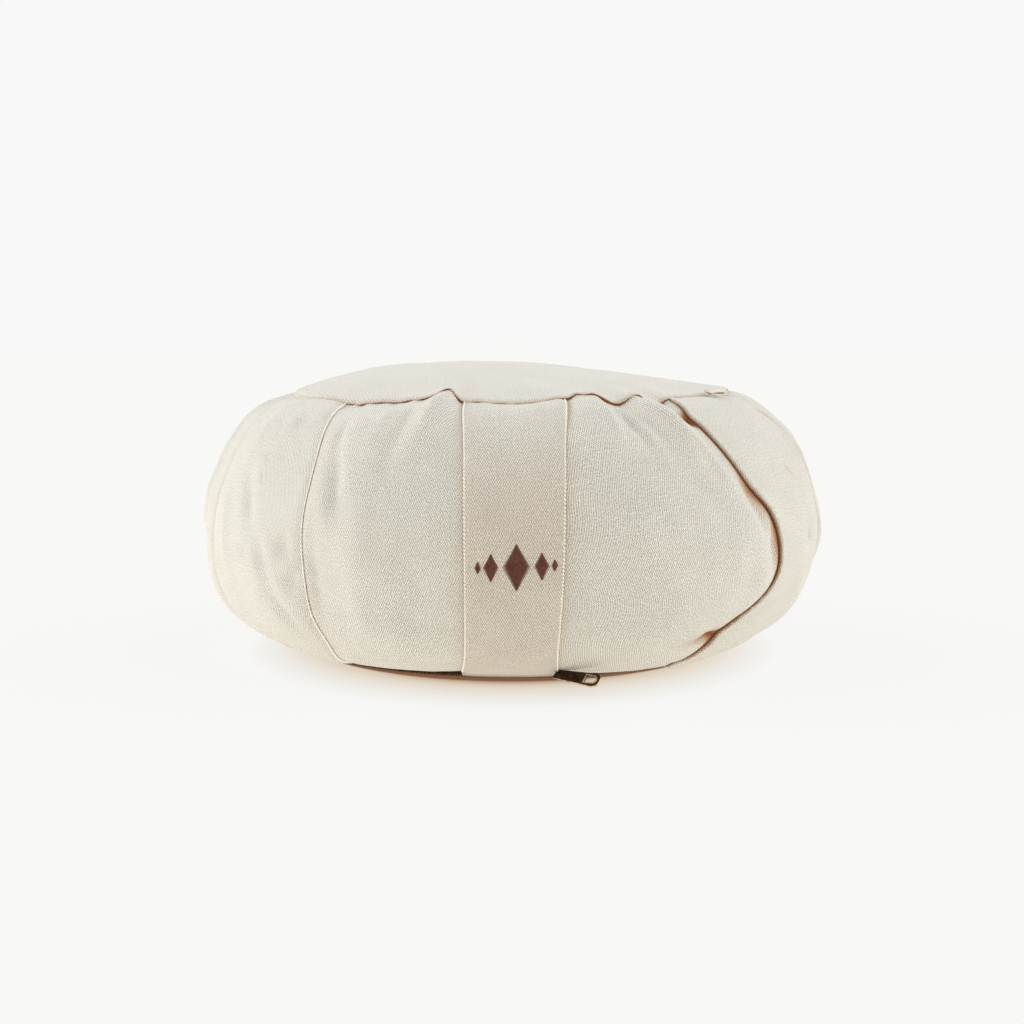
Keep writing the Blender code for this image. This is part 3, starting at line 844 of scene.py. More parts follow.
def canvas(name, light, dark, warp=WARP_PITCH, weft=WEFT_PITCH, relief=YARN_RELIEF):
    made, tree = new_material(name)
    spot = add(tree, "UVMap", uv_map="weave")
    stray = add(tree, "TexNoise", {"Vector": spot, "Scale": 90.0, "Detail": 1.0})
    drift = add(tree, "VectorMath", (stray.outputs["Color"], (0.0005,) * 3), operation="MULTIPLY")
    loose = add(tree, "TexNoise", {"Vector": spot, "Scale": 420.0, "Detail": 1.0})
    jitter = add(tree, "VectorMath", (loose.outputs["Color"], (0.00054,) * 3), operation="MULTIPLY")
    strayed = add(tree, "VectorMath", (drift, jitter), operation="ADD")
    bent = add(tree, "VectorMath", (spot, strayed), operation="ADD")
    turns = (math.pi / warp, math.pi / weft, 0)
    threads = add(tree, "VectorMath", (bent, turns), operation="MULTIPLY")
    apart = add(tree, "SeparateXYZ", {0: threads})
    warps = add(tree, "Math", (apart.outputs["X"],), operation="SINE")
    wefts = add(tree, "Math", (apart.outputs["Y"],), operation="SINE")
    over = add(tree, "Math", (warps, wefts), operation="MULTIPLY")
    fibres = add(tree, "TexNoise", {"Vector": spot, "Scale": 1400.0, "Detail": 1.0})
    ragged = add(tree, "MapRange", {0: fibres, 1: 0.3, 2: 0.7, 3: 0.22, 4: 0.78})
    height = add(tree, "Math", (over, 0.44, ragged), operation="MULTIPLY_ADD")
    # The pillows' own slopes, drawn as a normal, because they are finer than a bump can follow.
    warp_turn = add(tree, "Math", (apart.outputs["X"],), operation="COSINE")
    weft_turn = add(tree, "Math", (apart.outputs["Y"],), operation="COSINE")
    steep_x = add(tree, "Math", (warp_turn, wefts), operation="MULTIPLY")
    steep_y = add(tree, "Math", (warps, weft_turn), operation="MULTIPLY")
    lean_x = -0.5 * relief * math.pi / warp
    lean_y = -0.5 * relief * math.pi / weft
    red = add(tree, "Math", (steep_x, lean_x, 0.5), operation="MULTIPLY_ADD")
    green = add(tree, "Math", (steep_y, lean_y, 0.5), operation="MULTIPLY_ADD")
    facing = add(tree, "CombineXYZ", {0: red, 1: green, 2: 1.0})
    pillows = add(tree, "NormalMap", {"Color": facing}, uv_map="weave")
    long = add(tree, "VectorMath", (spot, (60.0, 1300.0, 1.0)), operation="MULTIPLY")
    slubs = add(tree, "TexNoise", {"Vector": long, "Scale": 1.0, "Detail": 2.0})
    mottle = add(tree, "TexNoise", {"Vector": spot, "Scale": 45.0, "Detail": 3.0})
    # The yarns' crowns take the light colour and the hollows between them the dark one: painted shade in
    # the weave.
    cloth = add(tree, "Mix", {0: height, 6: linear(dark), 7: linear(light)}, data_type="RGBA")
    streak = add(tree, "MapRange", {0: slubs, 1: 0.3, 2: 0.7, 3: 0.955, 4: 1.04})
    patch = add(tree, "MapRange", {0: mottle, 1: 0.3, 2: 0.7, 3: 0.97, 4: 1.025})
    tone = add(tree, "Math", (streak, patch), operation="MULTIPLY")
    toned = add(tree, "VectorMath", {0: cloth.outputs[2], "Scale": tone}, operation="SCALE")
    # Painted shade: a per-point attribute darkens the cloth where folds, seams and gaps lie, white at 0,
    # rust at 0.5 and deep brown at 1.
    painted_shade = add(tree, "Attribute", attribute_name="painted_shade")
    painted_shade_tint = add(tree, "ValToRGB", {0: painted_shade.outputs["Fac"]})
    painted_shade_tint.color_ramp.elements[0].color = (1.0, 1.0, 1.0, 1.0)
    painted_shade_tint.color_ramp.elements[1].color = linear(CANVAS_PAINTED_DEEP_SHADE)
    painted_shade_tint.color_ramp.elements.new(0.5).color = linear(CANVAS_PAINTED_SHADE)
    shade = {0: 1.0, 6: toned, 7: painted_shade_tint}
    shade = add(tree, "Mix", shade, data_type="RGBA", blend_type="MULTIPLY").outputs[2]
    fuzz = {"Height": slubs, "Strength": 0.25, "Distance": 0.0003, "Normal": pillows}
    looks = {
        "Base Color": shade, "Normal": add(tree, "Bump", fuzz), "Roughness": 0.92, "IOR": 1.45,
        "Specular IOR Level": 0.2, "Sheen Weight": 0.25, "Sheen Roughness": 0.45,
    }
    finish_material(tree, add(tree, "BsdfPrincipled", looks))
    return made


cotton = canvas("unbleached_cotton_canvas", CANVAS_LIGHT, CANVAS_YARN_GAP_SHADE)
cushion.data.materials.append(cotton)

SIDE_EDGE = OPEN_FOLD * SECTOR_STEPS + STRIP_STEPS
# Painted shade beside the open fold's edge, beside the other strips' edges and in the pockets; then the
# column width and the reaches over which the painted shade fades.
SIDE_PAINTED_SHADE, EDGE_PAINTED_SHADE, POCKET_PAINTED_SHADE = 0.5, 0.10, 0.85
COLUMN_WIDTH, EDGE_SHADE, SLIT_SHADE, SEAM_SHADE = 0.0115, 0.0035, 0.0014, 0.0011


def paint_shade(made, values):
    """Stores each point's painted shade, from 0 to 1: how deep in a fold, seam or gap it lies."""
    layer = made.data.attributes.new("painted_shade", "FLOAT", "POINT")
    layer.data.foreach_set("value", np.clip(values, 0, 1).astype(np.float32))


def cushion_painted_shade(kind, value, columns):
    """The warm painted shade along the seams, over the foot panel, beside the strips and in the pockets of
    the open fold.
    """
    shows = seam_show(column_azimuth(columns, 0.0))
    if kind == "top":
        return 0.42 * bell(SEAM_RADIUS * (1 - value), 0.0012) * shows
    if kind == "foot":
        return np.full_like(columns, smooth((value - 0.86) / 0.05))
    if kind != "wall":
        return 0.8 * shows
    index, step = split(columns)
    beside = np.minimum(step - STRIP_STEPS, SECTOR_STEPS - step) * COLUMN_WIDTH
    edged = np.where(np.abs(columns - SIDE_EDGE) < 2, SIDE_PAINTED_SHADE, EDGE_PAINTED_SHADE)
    near_strip = edged * np.exp(-np.maximum(beside, 0) / EDGE_SHADE)
    slit = (index == 0) & (step > STRIP_STEPS) & (value < 0.22)
    opening = 1 - smooth((value - 0.1) / 0.12)
    inside = opening * np.exp(-(step - STRIP_STEPS) * COLUMN_WIDTH / SLIT_SHADE)
    near_strip = np.where(slit, inside, near_strip)
    near_seam = 0.4 * shows * bell(value * WALL_DROP, SEAM_SHADE)
    near_foot = bell((1 - value) * WALL_DROP, SEAM_SHADE)
    in_pocket = POCKET_PAINTED_SHADE * np.minimum(pocket(columns, value), 1.0) * min(1.0, 8 * value)
    return np.maximum(np.maximum(near_seam + near_foot, near_strip), in_pocket)


# Painted shade over the whole cushion: seams, foot panel, strip edges and the open fold's pockets.
painted_shades = np.stack([cushion_painted_shade(kind, value, fine_columns) for kind, value in fine_rings])
inside = (row >= 0) & (row < len(painted_shades))
paint_shade(cushion, np.where(inside, painted_shades[np.clip(row, 0, len(painted_shades) - 1), column], 0))


# ----------
# The six wall strips: the same canvas, cut straight, both long edges turned under and stitched
# down over the wall, their ends caught in the two seams. The right strip's front edge has come
# away from the wall and stands open as a rolled fold with a pocket behind it.
# ----------
STRIP_FACE = 0.0016
# How much painted shade darkens and warms the front strip from part way down to its foot.
FRONT_PAINTED_SHADE = 0.10
HEM_PROFILE = (
    # metres from the edge, height over the wall
    (0.00000, 0.00000),
    (0.00020, 0.00030),
    (0.00060, 0.00055),
    (0.00120, 0.00075),
    (0.00200, 0.00100),
    (0.00320, 0.00130),
    (0.00500, STRIP_FACE),
)
ROLLED_PROFILE = (
    (0.00080, 0.00000),
    (0.00030, 0.00020),
    (0.00005, 0.00060),
    (0.00000, 0.00105),
    (0.00030, 0.00160),
    (0.00095, 0.00195),
    (0.00190, 0.00200),
    (0.00310, 0.00175),
    (0.00500, STRIP_FACE),
)
# Painted shade on the open fold's rolled rim, deepest at its under edge, where the pocket's shadow falls.
ROLLED_PAINTED_SHADE = (0.72, 0.58, 0.42, 0.26, 0.09, 0.02)
OPEN_DEPTH = 0.024
SECTION_FACES = (20, 34)
STRIP_DOWNS = [0.0, 0.006, 0.014, 0.024, *np.linspace(0.036, 0.955, 88), 0.968, 0.978, 0.985]
UNDERSIDE = (0.985, 0.75, 0.5, 0.25, 0.015)
TOP_TUCK, TOP_TUCK_DROP = 0.982, 0.4
FRONT_FOOT, FRONT_FOOT_SWAY, FRONT_FOOT_DROP = 0.0062, 0.15, 0.0008
FOOT_TUCK, FOOT_TUCK_RISE, END_TUCK = 0.985, 0.3, 0.99
FOLD_LIFTS = (
    # down, lift
    (0.00, 0.0000),
    (0.12, 0.0006),
    (0.30, 0.0005),
    (0.42, 0.0014),
    (0.60, 0.0008),
    (0.72, 0.0012),
    (0.88, 0.0003),
    (1.00, 0.0000),
)


def fold_lift(down):
    """How far the open fold stands off, eased between the rows of its table."""
    heights = np.array(FOLD_LIFTS)
    place = np.clip(np.searchsorted(heights[:, 0], down, side="right") - 1, 0, len(heights) - 2)
    share = (down - heights[place, 0]) / (heights[place + 1, 0] - heights[place, 0])
    return heights[place, 1] + (heights[place + 1, 1] - heights[place, 1]) * smooth(share)


def strip_width(index, down):
    """The width of a strip at one height, in metres."""
    left, right = strip_edge(index, 0, down), strip_edge(index, 1, down)
    middle = wall_point(index * SECTOR_STEPS + STRIP_STEPS / 2, down)
    return np.radians(right - left) * np.hypot(middle[..., 0], middle[..., 1])


def strip_point(index, across, down, height):
    """A point over a strip: across is metres from its left edge, height is metres over the wall."""
    width = strip_width(index, down)
    column = index * SECTOR_STEPS + STRIP_STEPS * np.clip(across / width, 0, 1)
    if index == OPEN_FOLD:
        lift = fold_lift(down) * np.clip(1 - across / OPEN_DEPTH, 0, 1) ** 1.6
        height = height + lift * np.clip(height / 0.001, 0, 1)
    moved = wall_point(column, down, wall_detail(column, down) + height) + wall_lip(column, down)
    return moved + blown_out(column, station("wall", down))


def lay_section_weave(made, row, column, spans, falls):
    """The UV map of a form lofted from sections: metres round each one, and from ring to ring."""

    def across(rows, cols, upper, lower, corners):
        return spans[np.clip(rows, 0, len(spans) - 1), cols.astype(int) % spans.shape[1]]

    def along(rows, cols, upper, lower, corners):
        return falls[np.clip(rows, 0, len(falls) - 1)]

    lay_weave(made, row, column, across, along)


for index, (name, left, right, push) in enumerate(STRIPS):
    wide = strip_width(index, 0.5) > 0.07
    rings, sections = [], []
    for down in STRIP_DOWNS:
        width = strip_width(index, down)
        inner = np.linspace(HEM_PROFILE[-1][0], width - HEM_PROFILE[-1][0], SECTION_FACES[wide])
        near_edge = HEM_PROFILE
        if index == OPEN_FOLD:
            slope = (strip_edge(index, 0, down + 0.01) - strip_edge(index, 0, down - 0.01)) / 0.02
            wider = math.hypot(1.0, math.radians(float(slope)) * WALL_RADIUS / WALL_LENGTH)
            near_edge = [(x * wider, height) for x, height in ROLLED_PROFILE]
            inner = np.linspace(near_edge[-1][0], inner[-1], len(inner))
        over = [*near_edge, *[(x, STRIP_FACE) for x in inner[1:-1]]]
        over += [(width - x, height) for x, height in HEM_PROFILE[::-1]]
        section = np.array(over + [(x * width, 0.0) for x in UNDERSIDE])
        sections.append(section)
        tight = 0.25 + 0.75 * smooth(down / 0.02) if down < 0.5 else 1.0
        rings.append(strip_point(index, section[:, 0], down, section[:, 1] * tight))
    drop = np.linalg.norm(np.diff(np.array(rings), axis=0), axis=-1).mean(axis=1)
    fall = np.concatenate([[0], np.cumsum(drop)])
    tucked = rings[0] * [TOP_TUCK, TOP_TUCK, 1]
    tucked[:, 2] = TOP_SEAM_HEIGHT + (rings[0][:, 2] - TOP_SEAM_HEIGHT) * TOP_TUCK_DROP
    foot, level = rings[-1].copy(), rings[-1][:, 2]
    if index == 0:
        foot[:, 2] = FRONT_FOOT + FRONT_FOOT_SWAY * (level - level.min())
        last = foot * [END_TUCK, END_TUCK, 1] - [0, 0, FRONT_FOOT_DROP]
    else:
        foot = foot * [FOOT_TUCK, FOOT_TUCK, 1]
        foot[:, 2] = FOOT_SEAM_HEIGHT + (level - FOOT_SEAM_HEIGHT) * FOOT_TUCK_RISE
        last = foot * [END_TUCK, END_TUCK, 1]
    loops = np.array([tucked, *rings, foot, last])
    ends = loops[0].mean(axis=0), loops[-1].mean(axis=0)
    strip, row, column = lofted("strip_" + name[5:], loops, *ends)
    falls = np.array([0.0, *fall, fall[-1] + 0.003, fall[-1] + 0.004])
    sections = np.array([sections[0], *sections, sections[-1], sections[-1]])
    spans = np.cumsum(np.linalg.norm(np.diff(sections, axis=1), axis=-1), axis=1)
    spans = np.pad(spans, ((0, 0), (1, 0)))
    lay_section_weave(strip, row, column, spans, -falls)
    strip.data.materials.append(cotton)
    # Painted shade per point of the strip: deep brown over its underside, some at its top end in the seam,
    # more on the open fold's rim and low on the front strip.
    depth = np.zeros_like(spans)
    depth[:, -len(UNDERSIDE) :] = 1.0
    depth[:2] = np.maximum(depth[:2], 0.3)
    if index == OPEN_FOLD:
        depth[:, : len(ROLLED_PAINTED_SHADE)] = ROLLED_PAINTED_SHADE
    if index == 0:
        depth += FRONT_PAINTED_SHADE * smooth(np.clip(falls / WALL_LENGTH, 0, 1) / 0.45)[:, None]
    inside = (row >= 0) & (row < len(depth))
    paint_shade(strip, np.where(inside, depth[np.clip(row, 0, len(depth) - 1), column], 0.6))
    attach(strip, "root")
    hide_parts(name)
    widths = np.array([strip_width(index, down) for down in STRIP_DOWNS])


# ----------
# The edge stitching: a thick ivory thread in a close slanted lockstitch along both long edges of
# every strip but the open fold's front edge, about a millimetre inside the fold. It catches the light as a
# fine pale cord.
# ----------
STITCH_PITCH, STITCH_SLANT = 0.0017, 20.0
STITCH_INSET, STITCH_RISE, STITCH_REACH = 0.00052, 0.00056, 0.0006
STITCH_START, STITCHED = 0.006, 0.976
STITCH_SIZE = (0.00052, 0.00108, 0.00036)
THREAD, THREAD_SHADE = "#fffdf8", "#efe8d8"

bpy.ops.mesh.primitive_uv_sphere_add(segments=6, ring_count=5, radius=1.0)
one_stitch = bpy.context.object
stitch_form = vertex_places(one_stitch.data)
stitch_faces = [tuple(face.vertices) for face in one_stitch.data.polygons]
bpy.data.objects.remove(one_stitch)


def many(name, form, faces, spots, axes):
    """One mesh of many like small forms: each has its spot and its three axes, as rows."""
    points = spots[:, None] + np.einsum("vk,nkx->nvx", form, axes)
    steps = len(form) * np.arange(len(spots))
    every_face = [[corner + step for corner in face] for step in steps for face in faces]
    mesh = bpy.data.meshes.new(name)
    mesh.from_pydata(points.reshape(-1, 3).tolist(), [], every_face)
    made = bpy.data.objects.new(name, mesh)
    bpy.context.collection.objects.link(made)
    mesh.shade_smooth()
    return made


def unit(vectors):
    return vectors / np.linalg.norm(vectors, axis=-1, keepdims=True)


def leaning(side, along, degrees):
    """Axes for forms that lie in a surface, turned in it: across, along and outward, as rows."""
    side, along = unit(side), unit(along)
    out = unit(np.cross(side, along))
    side = np.cross(along, out)
    turn = math.radians(degrees)
    across = side * np.cos(turn) + along * np.sin(turn)
    return np.stack([across, along * np.cos(turn) - side * np.sin(turn), out], axis=-2)


def on_strip(index, across, down, height, reach, degrees, size):
    """Spots on a strip, and the turned and sized axes of what lies on it there."""
    spot = strip_point(index, across, down, height)
    beyond = strip_point(index, across + reach, down, height)
    lower = strip_point(index, across, down + 0.004, height)
    return spot, leaning(beyond - spot, spot - lower, degrees) * size[..., None]


def grained(name, light, dark, grain, detail, contrast, relief, depth, surface, polish=None):
    """A finish mottled between two colours by a fine grain, which also raises it a little."""
    made, tree = new_material(name)
    place = add(tree, "TexCoord").outputs["Object"]
    fine = add(tree, "TexNoise", {"Vector": place, "Scale": grain, "Detail": detail})
    tint = add(tree, "MapRange", {0: fine, 1: 0.5 - contrast, 2: 0.5 + contrast})
    tone = add(tree, "Mix", {0: tint, 6: linear(dark), 7: linear(light)}, data_type="RGBA")
    bump = add(tree, "Bump", {"Height": fine, "Strength": relief, "Distance": depth})
    looks = {"Base Color": tone.outputs[2], "Normal": bump, **surface}
    if polish:
        looks["Roughness"] = add(tree, "MapRange", {0: fine, 3: polish[0], 4: polish[1]})
    finish_material(tree, add(tree, "BsdfPrincipled", looks))
    return made


# Spun cotton sewing thread, thicker than the cloth's own yarns: ivory, with a soft sheen.
spun = {"Roughness": 0.65, "Sheen Weight": 0.6}
thread = grained(
    "ivory_spun_cotton_thread", THREAD, THREAD_SHADE, 2400.0, 2.0, 0.5, 0.35, 0.0001, spun
)

for index, (name, left, right, push) in enumerate(STRIPS):
    count = round(WALL_LENGTH * STITCHED / STITCH_PITCH)
    down = STITCH_START + STITCHED * np.arange(count) / count
    spots, axes = [], []
    for side in (0, 1) if index != OPEN_FOLD else (1,):
        width = strip_width(index, down)
        inset = STITCH_INSET if side == 0 else width - STITCH_INSET
        sewn = index, inset, down, STITCH_RISE, STITCH_REACH, STITCH_SLANT, np.array(STITCH_SIZE)
        spot, turned_axes = on_strip(*sewn)
        spots.append(spot)
        axes.append(turned_axes)
    spots, axes = np.concatenate(spots), np.concatenate(axes)
    stitches = many("stitches_" + name[5:], stitch_form, stitch_faces, spots, axes)
    stitches.data.materials.append(thread)
    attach(stitches, "root")


# ----------
# The embroidery low on the front strip: a plain row of lozenges in satin stitch, brown rayon
# thread. Each lozenge is worked as two slanted halves that meet on its middle line.
# ----------
LOZENGES = (
    # middle, half width and half height, in millimetres
    (0.0, 7.2, 10.2),
    (-12.6, 4.0, 6.0),
    (12.6, 4.0, 6.0),
    (-19.0, 1.6, 2.5),
    (19.0, 1.6, 2.5),
)
MOTIF_ACROSS, MOTIF_DOWN = 0.0010, 0.497
SATIN_PITCH, SATIN_LEAN, SATIN_LAP = 0.55, 24.0, 1.2
SATIN_WIDE, SATIN_THICK, SATIN_END = 0.341, 0.34, 0.4
SATIN_LIGHT, SATIN_DARK = "#70351b", "#3c190a"

silky = {"Roughness": 0.42, "Sheen Weight": 0.15}
rayon = grained(
    "brown_rayon_embroidery_thread", SATIN_LIGHT, SATIN_DARK, 1100.0, 2.0, 0.15, 0.3, 0.0001, silky
)

spots, axes = [], []
for middle, half_width, half_height in LOZENGES:
    for way in (-1, 1):
        rows = np.arange(SATIN_PITCH / 2 - half_height, half_height, SATIN_PITCH)
        reach = np.linspace(0, half_width + half_height, 240)[:, None]
        step = (way * math.cos(math.radians(SATIN_LEAN)), math.sin(math.radians(SATIN_LEAN)))
        aside, above = np.abs(reach * step[0]), np.abs(rows + reach * step[1])
        length = (reach * (aside / half_width + above / half_height <= 1)).max(axis=0)
        lap = np.minimum(SATIN_LAP, 0.35 * length)
        centre = (length - lap) / 2
        across = strip_width(0, MOTIF_DOWN) / 2 + MOTIF_ACROSS + (middle + centre * step[0]) / 1000
        down = MOTIF_DOWN + (rows + centre * step[1]) / 1000 / WALL_LENGTH
        turn = math.degrees(math.atan2(-step[0], -step[1]))
        halves = (length + lap) / 2 + SATIN_END
        size = np.array([(SATIN_WIDE, half, SATIN_THICK) for half in halves]) / 1000
        spot, turned_axes = on_strip(0, across, down, STRIP_FACE, 0.001, turn, size)
        spots.append(spot)
        axes.append(turned_axes)
spots, axes = np.concatenate(spots), np.concatenate(axes)
motif = many("satin_stitch_lozenges", stitch_form, stitch_faces, spots, axes)
motif.data.materials.append(rayon)
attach(motif, "root")


# ----------
# The zip in the bottom seam: two woven tapes that carry a row of small antique-brass teeth, which
# mesh alternately. It runs from the left strip under the front strip's foot to the right strip.
# ----------
CHAIN_FROM, CHAIN_TO, CHAIN_AT, CHAIN_HEIGHT = -46.0, 57.0, 0.1288, 0.0064
TOOTH_STEP, TOOTH_OFFSET = 0.00075, 0.00032
TOOTH_SIZE = (0.00027, 0.00090, 0.00055)
TAPE_SECTION = (
    # radius, height, outer face from under the cushion up, and inner face back down
    (0.1190, 0.0013),
    (0.1240, 0.0032),
    (0.1268, 0.0050),
    (0.1272, 0.0070),
    (0.1266, 0.0096),
    (0.1259, 0.0096),
    (0.1264, 0.0070),
    (0.1260, 0.0056),
    (0.1236, 0.0040),
    (0.1190, 0.0020),
)
# The tape's tan colours, darkened to paint the contact shade where the tape shows under the wall's foot.
TAPE_TAN_AND_SHADE, TAPE_TAN_AND_SHADE_DARK = "#97704d", "#5a3d27"
BRASS_DARK, BRASS_PATINA = "#5e4a38", "#3a2b1e"
BRASS_WORN, BRASS_RUBBED = "#e4d6bb", "#a08a69"


# Zinc cast, plated and darkened: brown in the hollows, rubbed brighter where fingers touch it.
cast_metal = (420.0, 4.0, 0.15, 0.2, 0.0001, {"Metallic": 1.0})
dark_brass = grained(
    "antique_brass_plating", BRASS_DARK, BRASS_PATINA, *cast_metal, polish=(0.50, 0.30)
)
worn_brass = grained(
    "antique_brass_rubbed_rims", BRASS_WORN, BRASS_RUBBED, *cast_metal, polish=(0.38, 0.18)
)

stations = np.linspace(CHAIN_FROM, CHAIN_TO, 121)
section = np.array(TAPE_SECTION)
loops = np.array([around(azimuth, section[:, 0], section[:, 1]) for azimuth in stations])
tape, row, column = lofted("zip_tapes", loops, loops[0].mean(axis=0), loops[-1].mean(axis=0))
# Woven polyester tape, tan, its close weave broken up by a fine mottle. Its colours are darker than the
# tape's own, painting the contact shade under the cushion's foot, where it shows below the teeth.
woven = {"Roughness": 0.85, "Specular IOR Level": 0.1}
twill = grained(
    "tan_zip_tape_with_painted_shade", TAPE_TAN_AND_SHADE, TAPE_TAN_AND_SHADE_DARK, 1500.0, 2.0, 0.5, 0.4, 0.0002, woven
)
tape.data.materials.append(twill)
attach(tape, "root")

bpy.ops.mesh.primitive_cube_add(size=2.0)
one_tooth = bpy.context.object
rounding = one_tooth.modifiers.new("rounded", "BEVEL")
rounding.width = 0.35
rounding.segments = 1
bpy.ops.object.modifier_apply(modifier="rounded")
tooth_form = vertex_places(one_tooth.data)
tooth_faces = [tuple(face.vertices) for face in one_tooth.data.polygons]
bpy.data.objects.remove(one_tooth)

count = int(math.radians(CHAIN_TO - CHAIN_FROM) * CHAIN_AT / TOOTH_STEP)
azimuth = np.linspace(CHAIN_FROM, CHAIN_TO, count)
offset = TOOTH_OFFSET * np.where(np.arange(count) % 2, 1, -1)
spots = around(azimuth, CHAIN_AT, CHAIN_HEIGHT + offset)
upward = np.tile([0.0, 0.0, 1.0], (count, 1))
axes = leaning(around(azimuth + 90, 1.0, 0.0), upward, 0.0) * np.array(TOOTH_SIZE)[:, None]
teeth = many("zip_teeth", tooth_form, tooth_faces, spots, axes)
teeth.data.materials.append(dark_brass)
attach(teeth, "root")
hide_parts("zip_chain")


# ----------
# The slider and its pull, cast in zinc and plated like old brass. The slider has a bridge on its
# face, and the long flat pull hangs from it: raised rims round a sunk panel, and a D-shaped eye.
# ----------
SLIDER_AZIMUTH, SLIDER_RADIUS, SLIDER_HEIGHT = 13.0, 0.1310, 0.0060
SLIDER_SIZE = (0.0080, 0.0046, 0.0038)
BRIDGE = (
    # along the slider, outward from its middle
    (-0.0026, 0.0021),
    (-0.0024, 0.0032),
    (-0.0012, 0.0037),
    (0.0012, 0.0037),
    (0.0024, 0.0032),
    (0.0026, 0.0021),
)
PULL_START = (0.0224, -0.1379, 0.0090)
PULL_TURNS = (36.0, 2.3, -30.0)
PULL_LENGTH, PULL_ROOT, PULL_HALF = 0.0258, 0.0028, 0.0044
PULL_THICKNESS, PULL_CORNER = 0.0011, 0.0034
EYE_START, EYE_END, EYE_HALF, EYE_CORNER = 0.0178, 0.0238, 0.0023, 0.0021
RIM_INSET, RIM_WIRE = 0.0003, 0.00042


def close_up(made):
    """Lets go of a piece after its last operator, smooth but for its sharp edges."""
    bpy.ops.object.select_all(action="DESELECT")
    made.select_set(True)
    bpy.context.view_layer.objects.active = made
    bpy.ops.object.transform_apply(location=True, rotation=True, scale=True)
    bpy.ops.object.shade_smooth_by_angle(angle=math.radians(38))
    made.select_set(False)


def wire(name, points, radius, closed=True):
    """A round wire along the points, as a mesh."""
    curve = bpy.data.curves.new(name, "CURVE")
    curve.dimensions = "3D"
    curve.bevel_depth = radius
    curve.bevel_resolution = 2
    curve.use_fill_caps = not closed
    spline = curve.splines.new("POLY")
    spline.points.add(len(points) - 1)
    for place, point in zip(spline.points, points):
        place.co = (*point, 1.0)
    spline.use_cyclic_u = closed
    made = bpy.data.objects.new(name, curve)
    bpy.context.collection.objects.link(made)
    bpy.ops.object.select_all(action="DESELECT")
    made.select_set(True)
    bpy.context.view_layer.objects.active = made
    bpy.ops.object.convert(target="MESH")
    return bpy.context.object


def tongue(start, end, root, half, corner, height, steps=6):
    """An outline along X from a square end, which may be narrower, to a rounded one."""
    far = []
    for step in range(steps + 1):
        turn = math.pi / 2 * step / steps
        along, across = math.sin(turn), math.cos(turn)
        far.append((end - corner + corner * along, corner - half - corner * across))
    back = [(along, -across) for along, across in far[::-1]]
    points = [(start, -root), *far, *back, (start, root)]
    return [(along, across, height) for along, across in points]


def joined(parts):
    bpy.ops.object.select_all(action="DESELECT")
    for part in parts:
        part.select_set(True)
    bpy.context.view_layer.objects.active = parts[0]
    bpy.ops.object.join()
    return parts[0]


bpy.ops.mesh.primitive_cube_add(size=1.0)
slider = bpy.context.object
slider.name = slider.data.name = "zip_slider_body"
slider.scale = SLIDER_SIZE
bpy.ops.object.transform_apply(location=False, rotation=False, scale=True)
bpy.ops.object.mode_set(mode="EDIT")
bpy.ops.mesh.select_all(action="DESELECT")
bpy.ops.object.mode_set(mode="OBJECT")
for face in slider.data.polygons:
    face.select = abs(face.normal.z) > 0.9
bpy.ops.object.mode_set(mode="EDIT")
bpy.ops.mesh.select_mode(type="FACE")
bpy.ops.mesh.inset(thickness=0.0009, depth=-0.0006, use_individual=True)
bpy.ops.object.mode_set(mode="OBJECT")
rounding = slider.modifiers.new("rounded", "BEVEL")
rounding.width = 0.0005
rounding.segments = 2
bpy.ops.object.modifier_apply(modifier="rounded")
slider.data.materials.append(dark_brass)
bridge = wire("bridge", [(along, -out, 0.0) for along, out in BRIDGE], 0.00055, closed=False)
bridge.data.materials.append(worn_brass)
slider = joined([slider, bridge])
slider.location = around(SLIDER_AZIMUTH, SLIDER_RADIUS, SLIDER_HEIGHT)
slider.rotation_euler = (0, 0, math.radians(SLIDER_AZIMUTH))
close_up(slider)
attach(slider, "root")
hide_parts("zip_slider")

plate_outline = tongue(0.0, PULL_LENGTH, PULL_ROOT, PULL_HALF, PULL_CORNER, -PULL_THICKNESS / 2)
eye_outline = tongue(EYE_START, EYE_END, EYE_HALF, EYE_HALF, EYE_CORNER, -PULL_THICKNESS / 2)
bpy.ops.mesh.primitive_circle_add(vertices=len(plate_outline), radius=1.0)
pull = bpy.context.object
pull.name = pull.data.name = "zip_pull_plate"
bpy.ops.object.mode_set(mode="EDIT")
bpy.ops.mesh.primitive_circle_add(vertices=len(eye_outline), radius=0.5)
bpy.ops.mesh.select_all(action="SELECT")
bpy.ops.mesh.bridge_edge_loops()
bpy.ops.object.mode_set(mode="OBJECT")
pull.data.vertices.foreach_set("co", np.array(plate_outline + eye_outline).ravel())
bpy.ops.object.mode_set(mode="EDIT")
bpy.ops.mesh.select_all(action="SELECT")
bpy.ops.mesh.extrude_region_move(TRANSFORM_OT_translate={"value": (0, 0, PULL_THICKNESS)})
bpy.ops.mesh.select_all(action="SELECT")
bpy.ops.mesh.normals_make_consistent(inside=False)
bpy.ops.object.mode_set(mode="OBJECT")
pull.data.materials.append(dark_brass)
rail = [edge - RIM_INSET for edge in (PULL_LENGTH, PULL_ROOT, PULL_HALF, PULL_CORNER)]
rail = tongue(0.0005, *rail, 0.0)
rim = [edge + RIM_INSET for edge in (EYE_END, EYE_HALF, EYE_HALF, EYE_CORNER)]
rim = tongue(EYE_START - RIM_INSET, *rim, PULL_THICKNESS / 2)
rails = wire("rails", rail, PULL_THICKNESS * 0.48)
rims = wire("rims", rim, RIM_WIRE)
for part in (rails, rims):
    part.data.materials.append(worn_brass)
pull = joined([pull, rails, rims])
pull.location = PULL_START
pull.rotation_euler = [math.radians(turn) for turn in PULL_TURNS]
close_up(pull)
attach(pull, "root")
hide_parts("zip_pull")


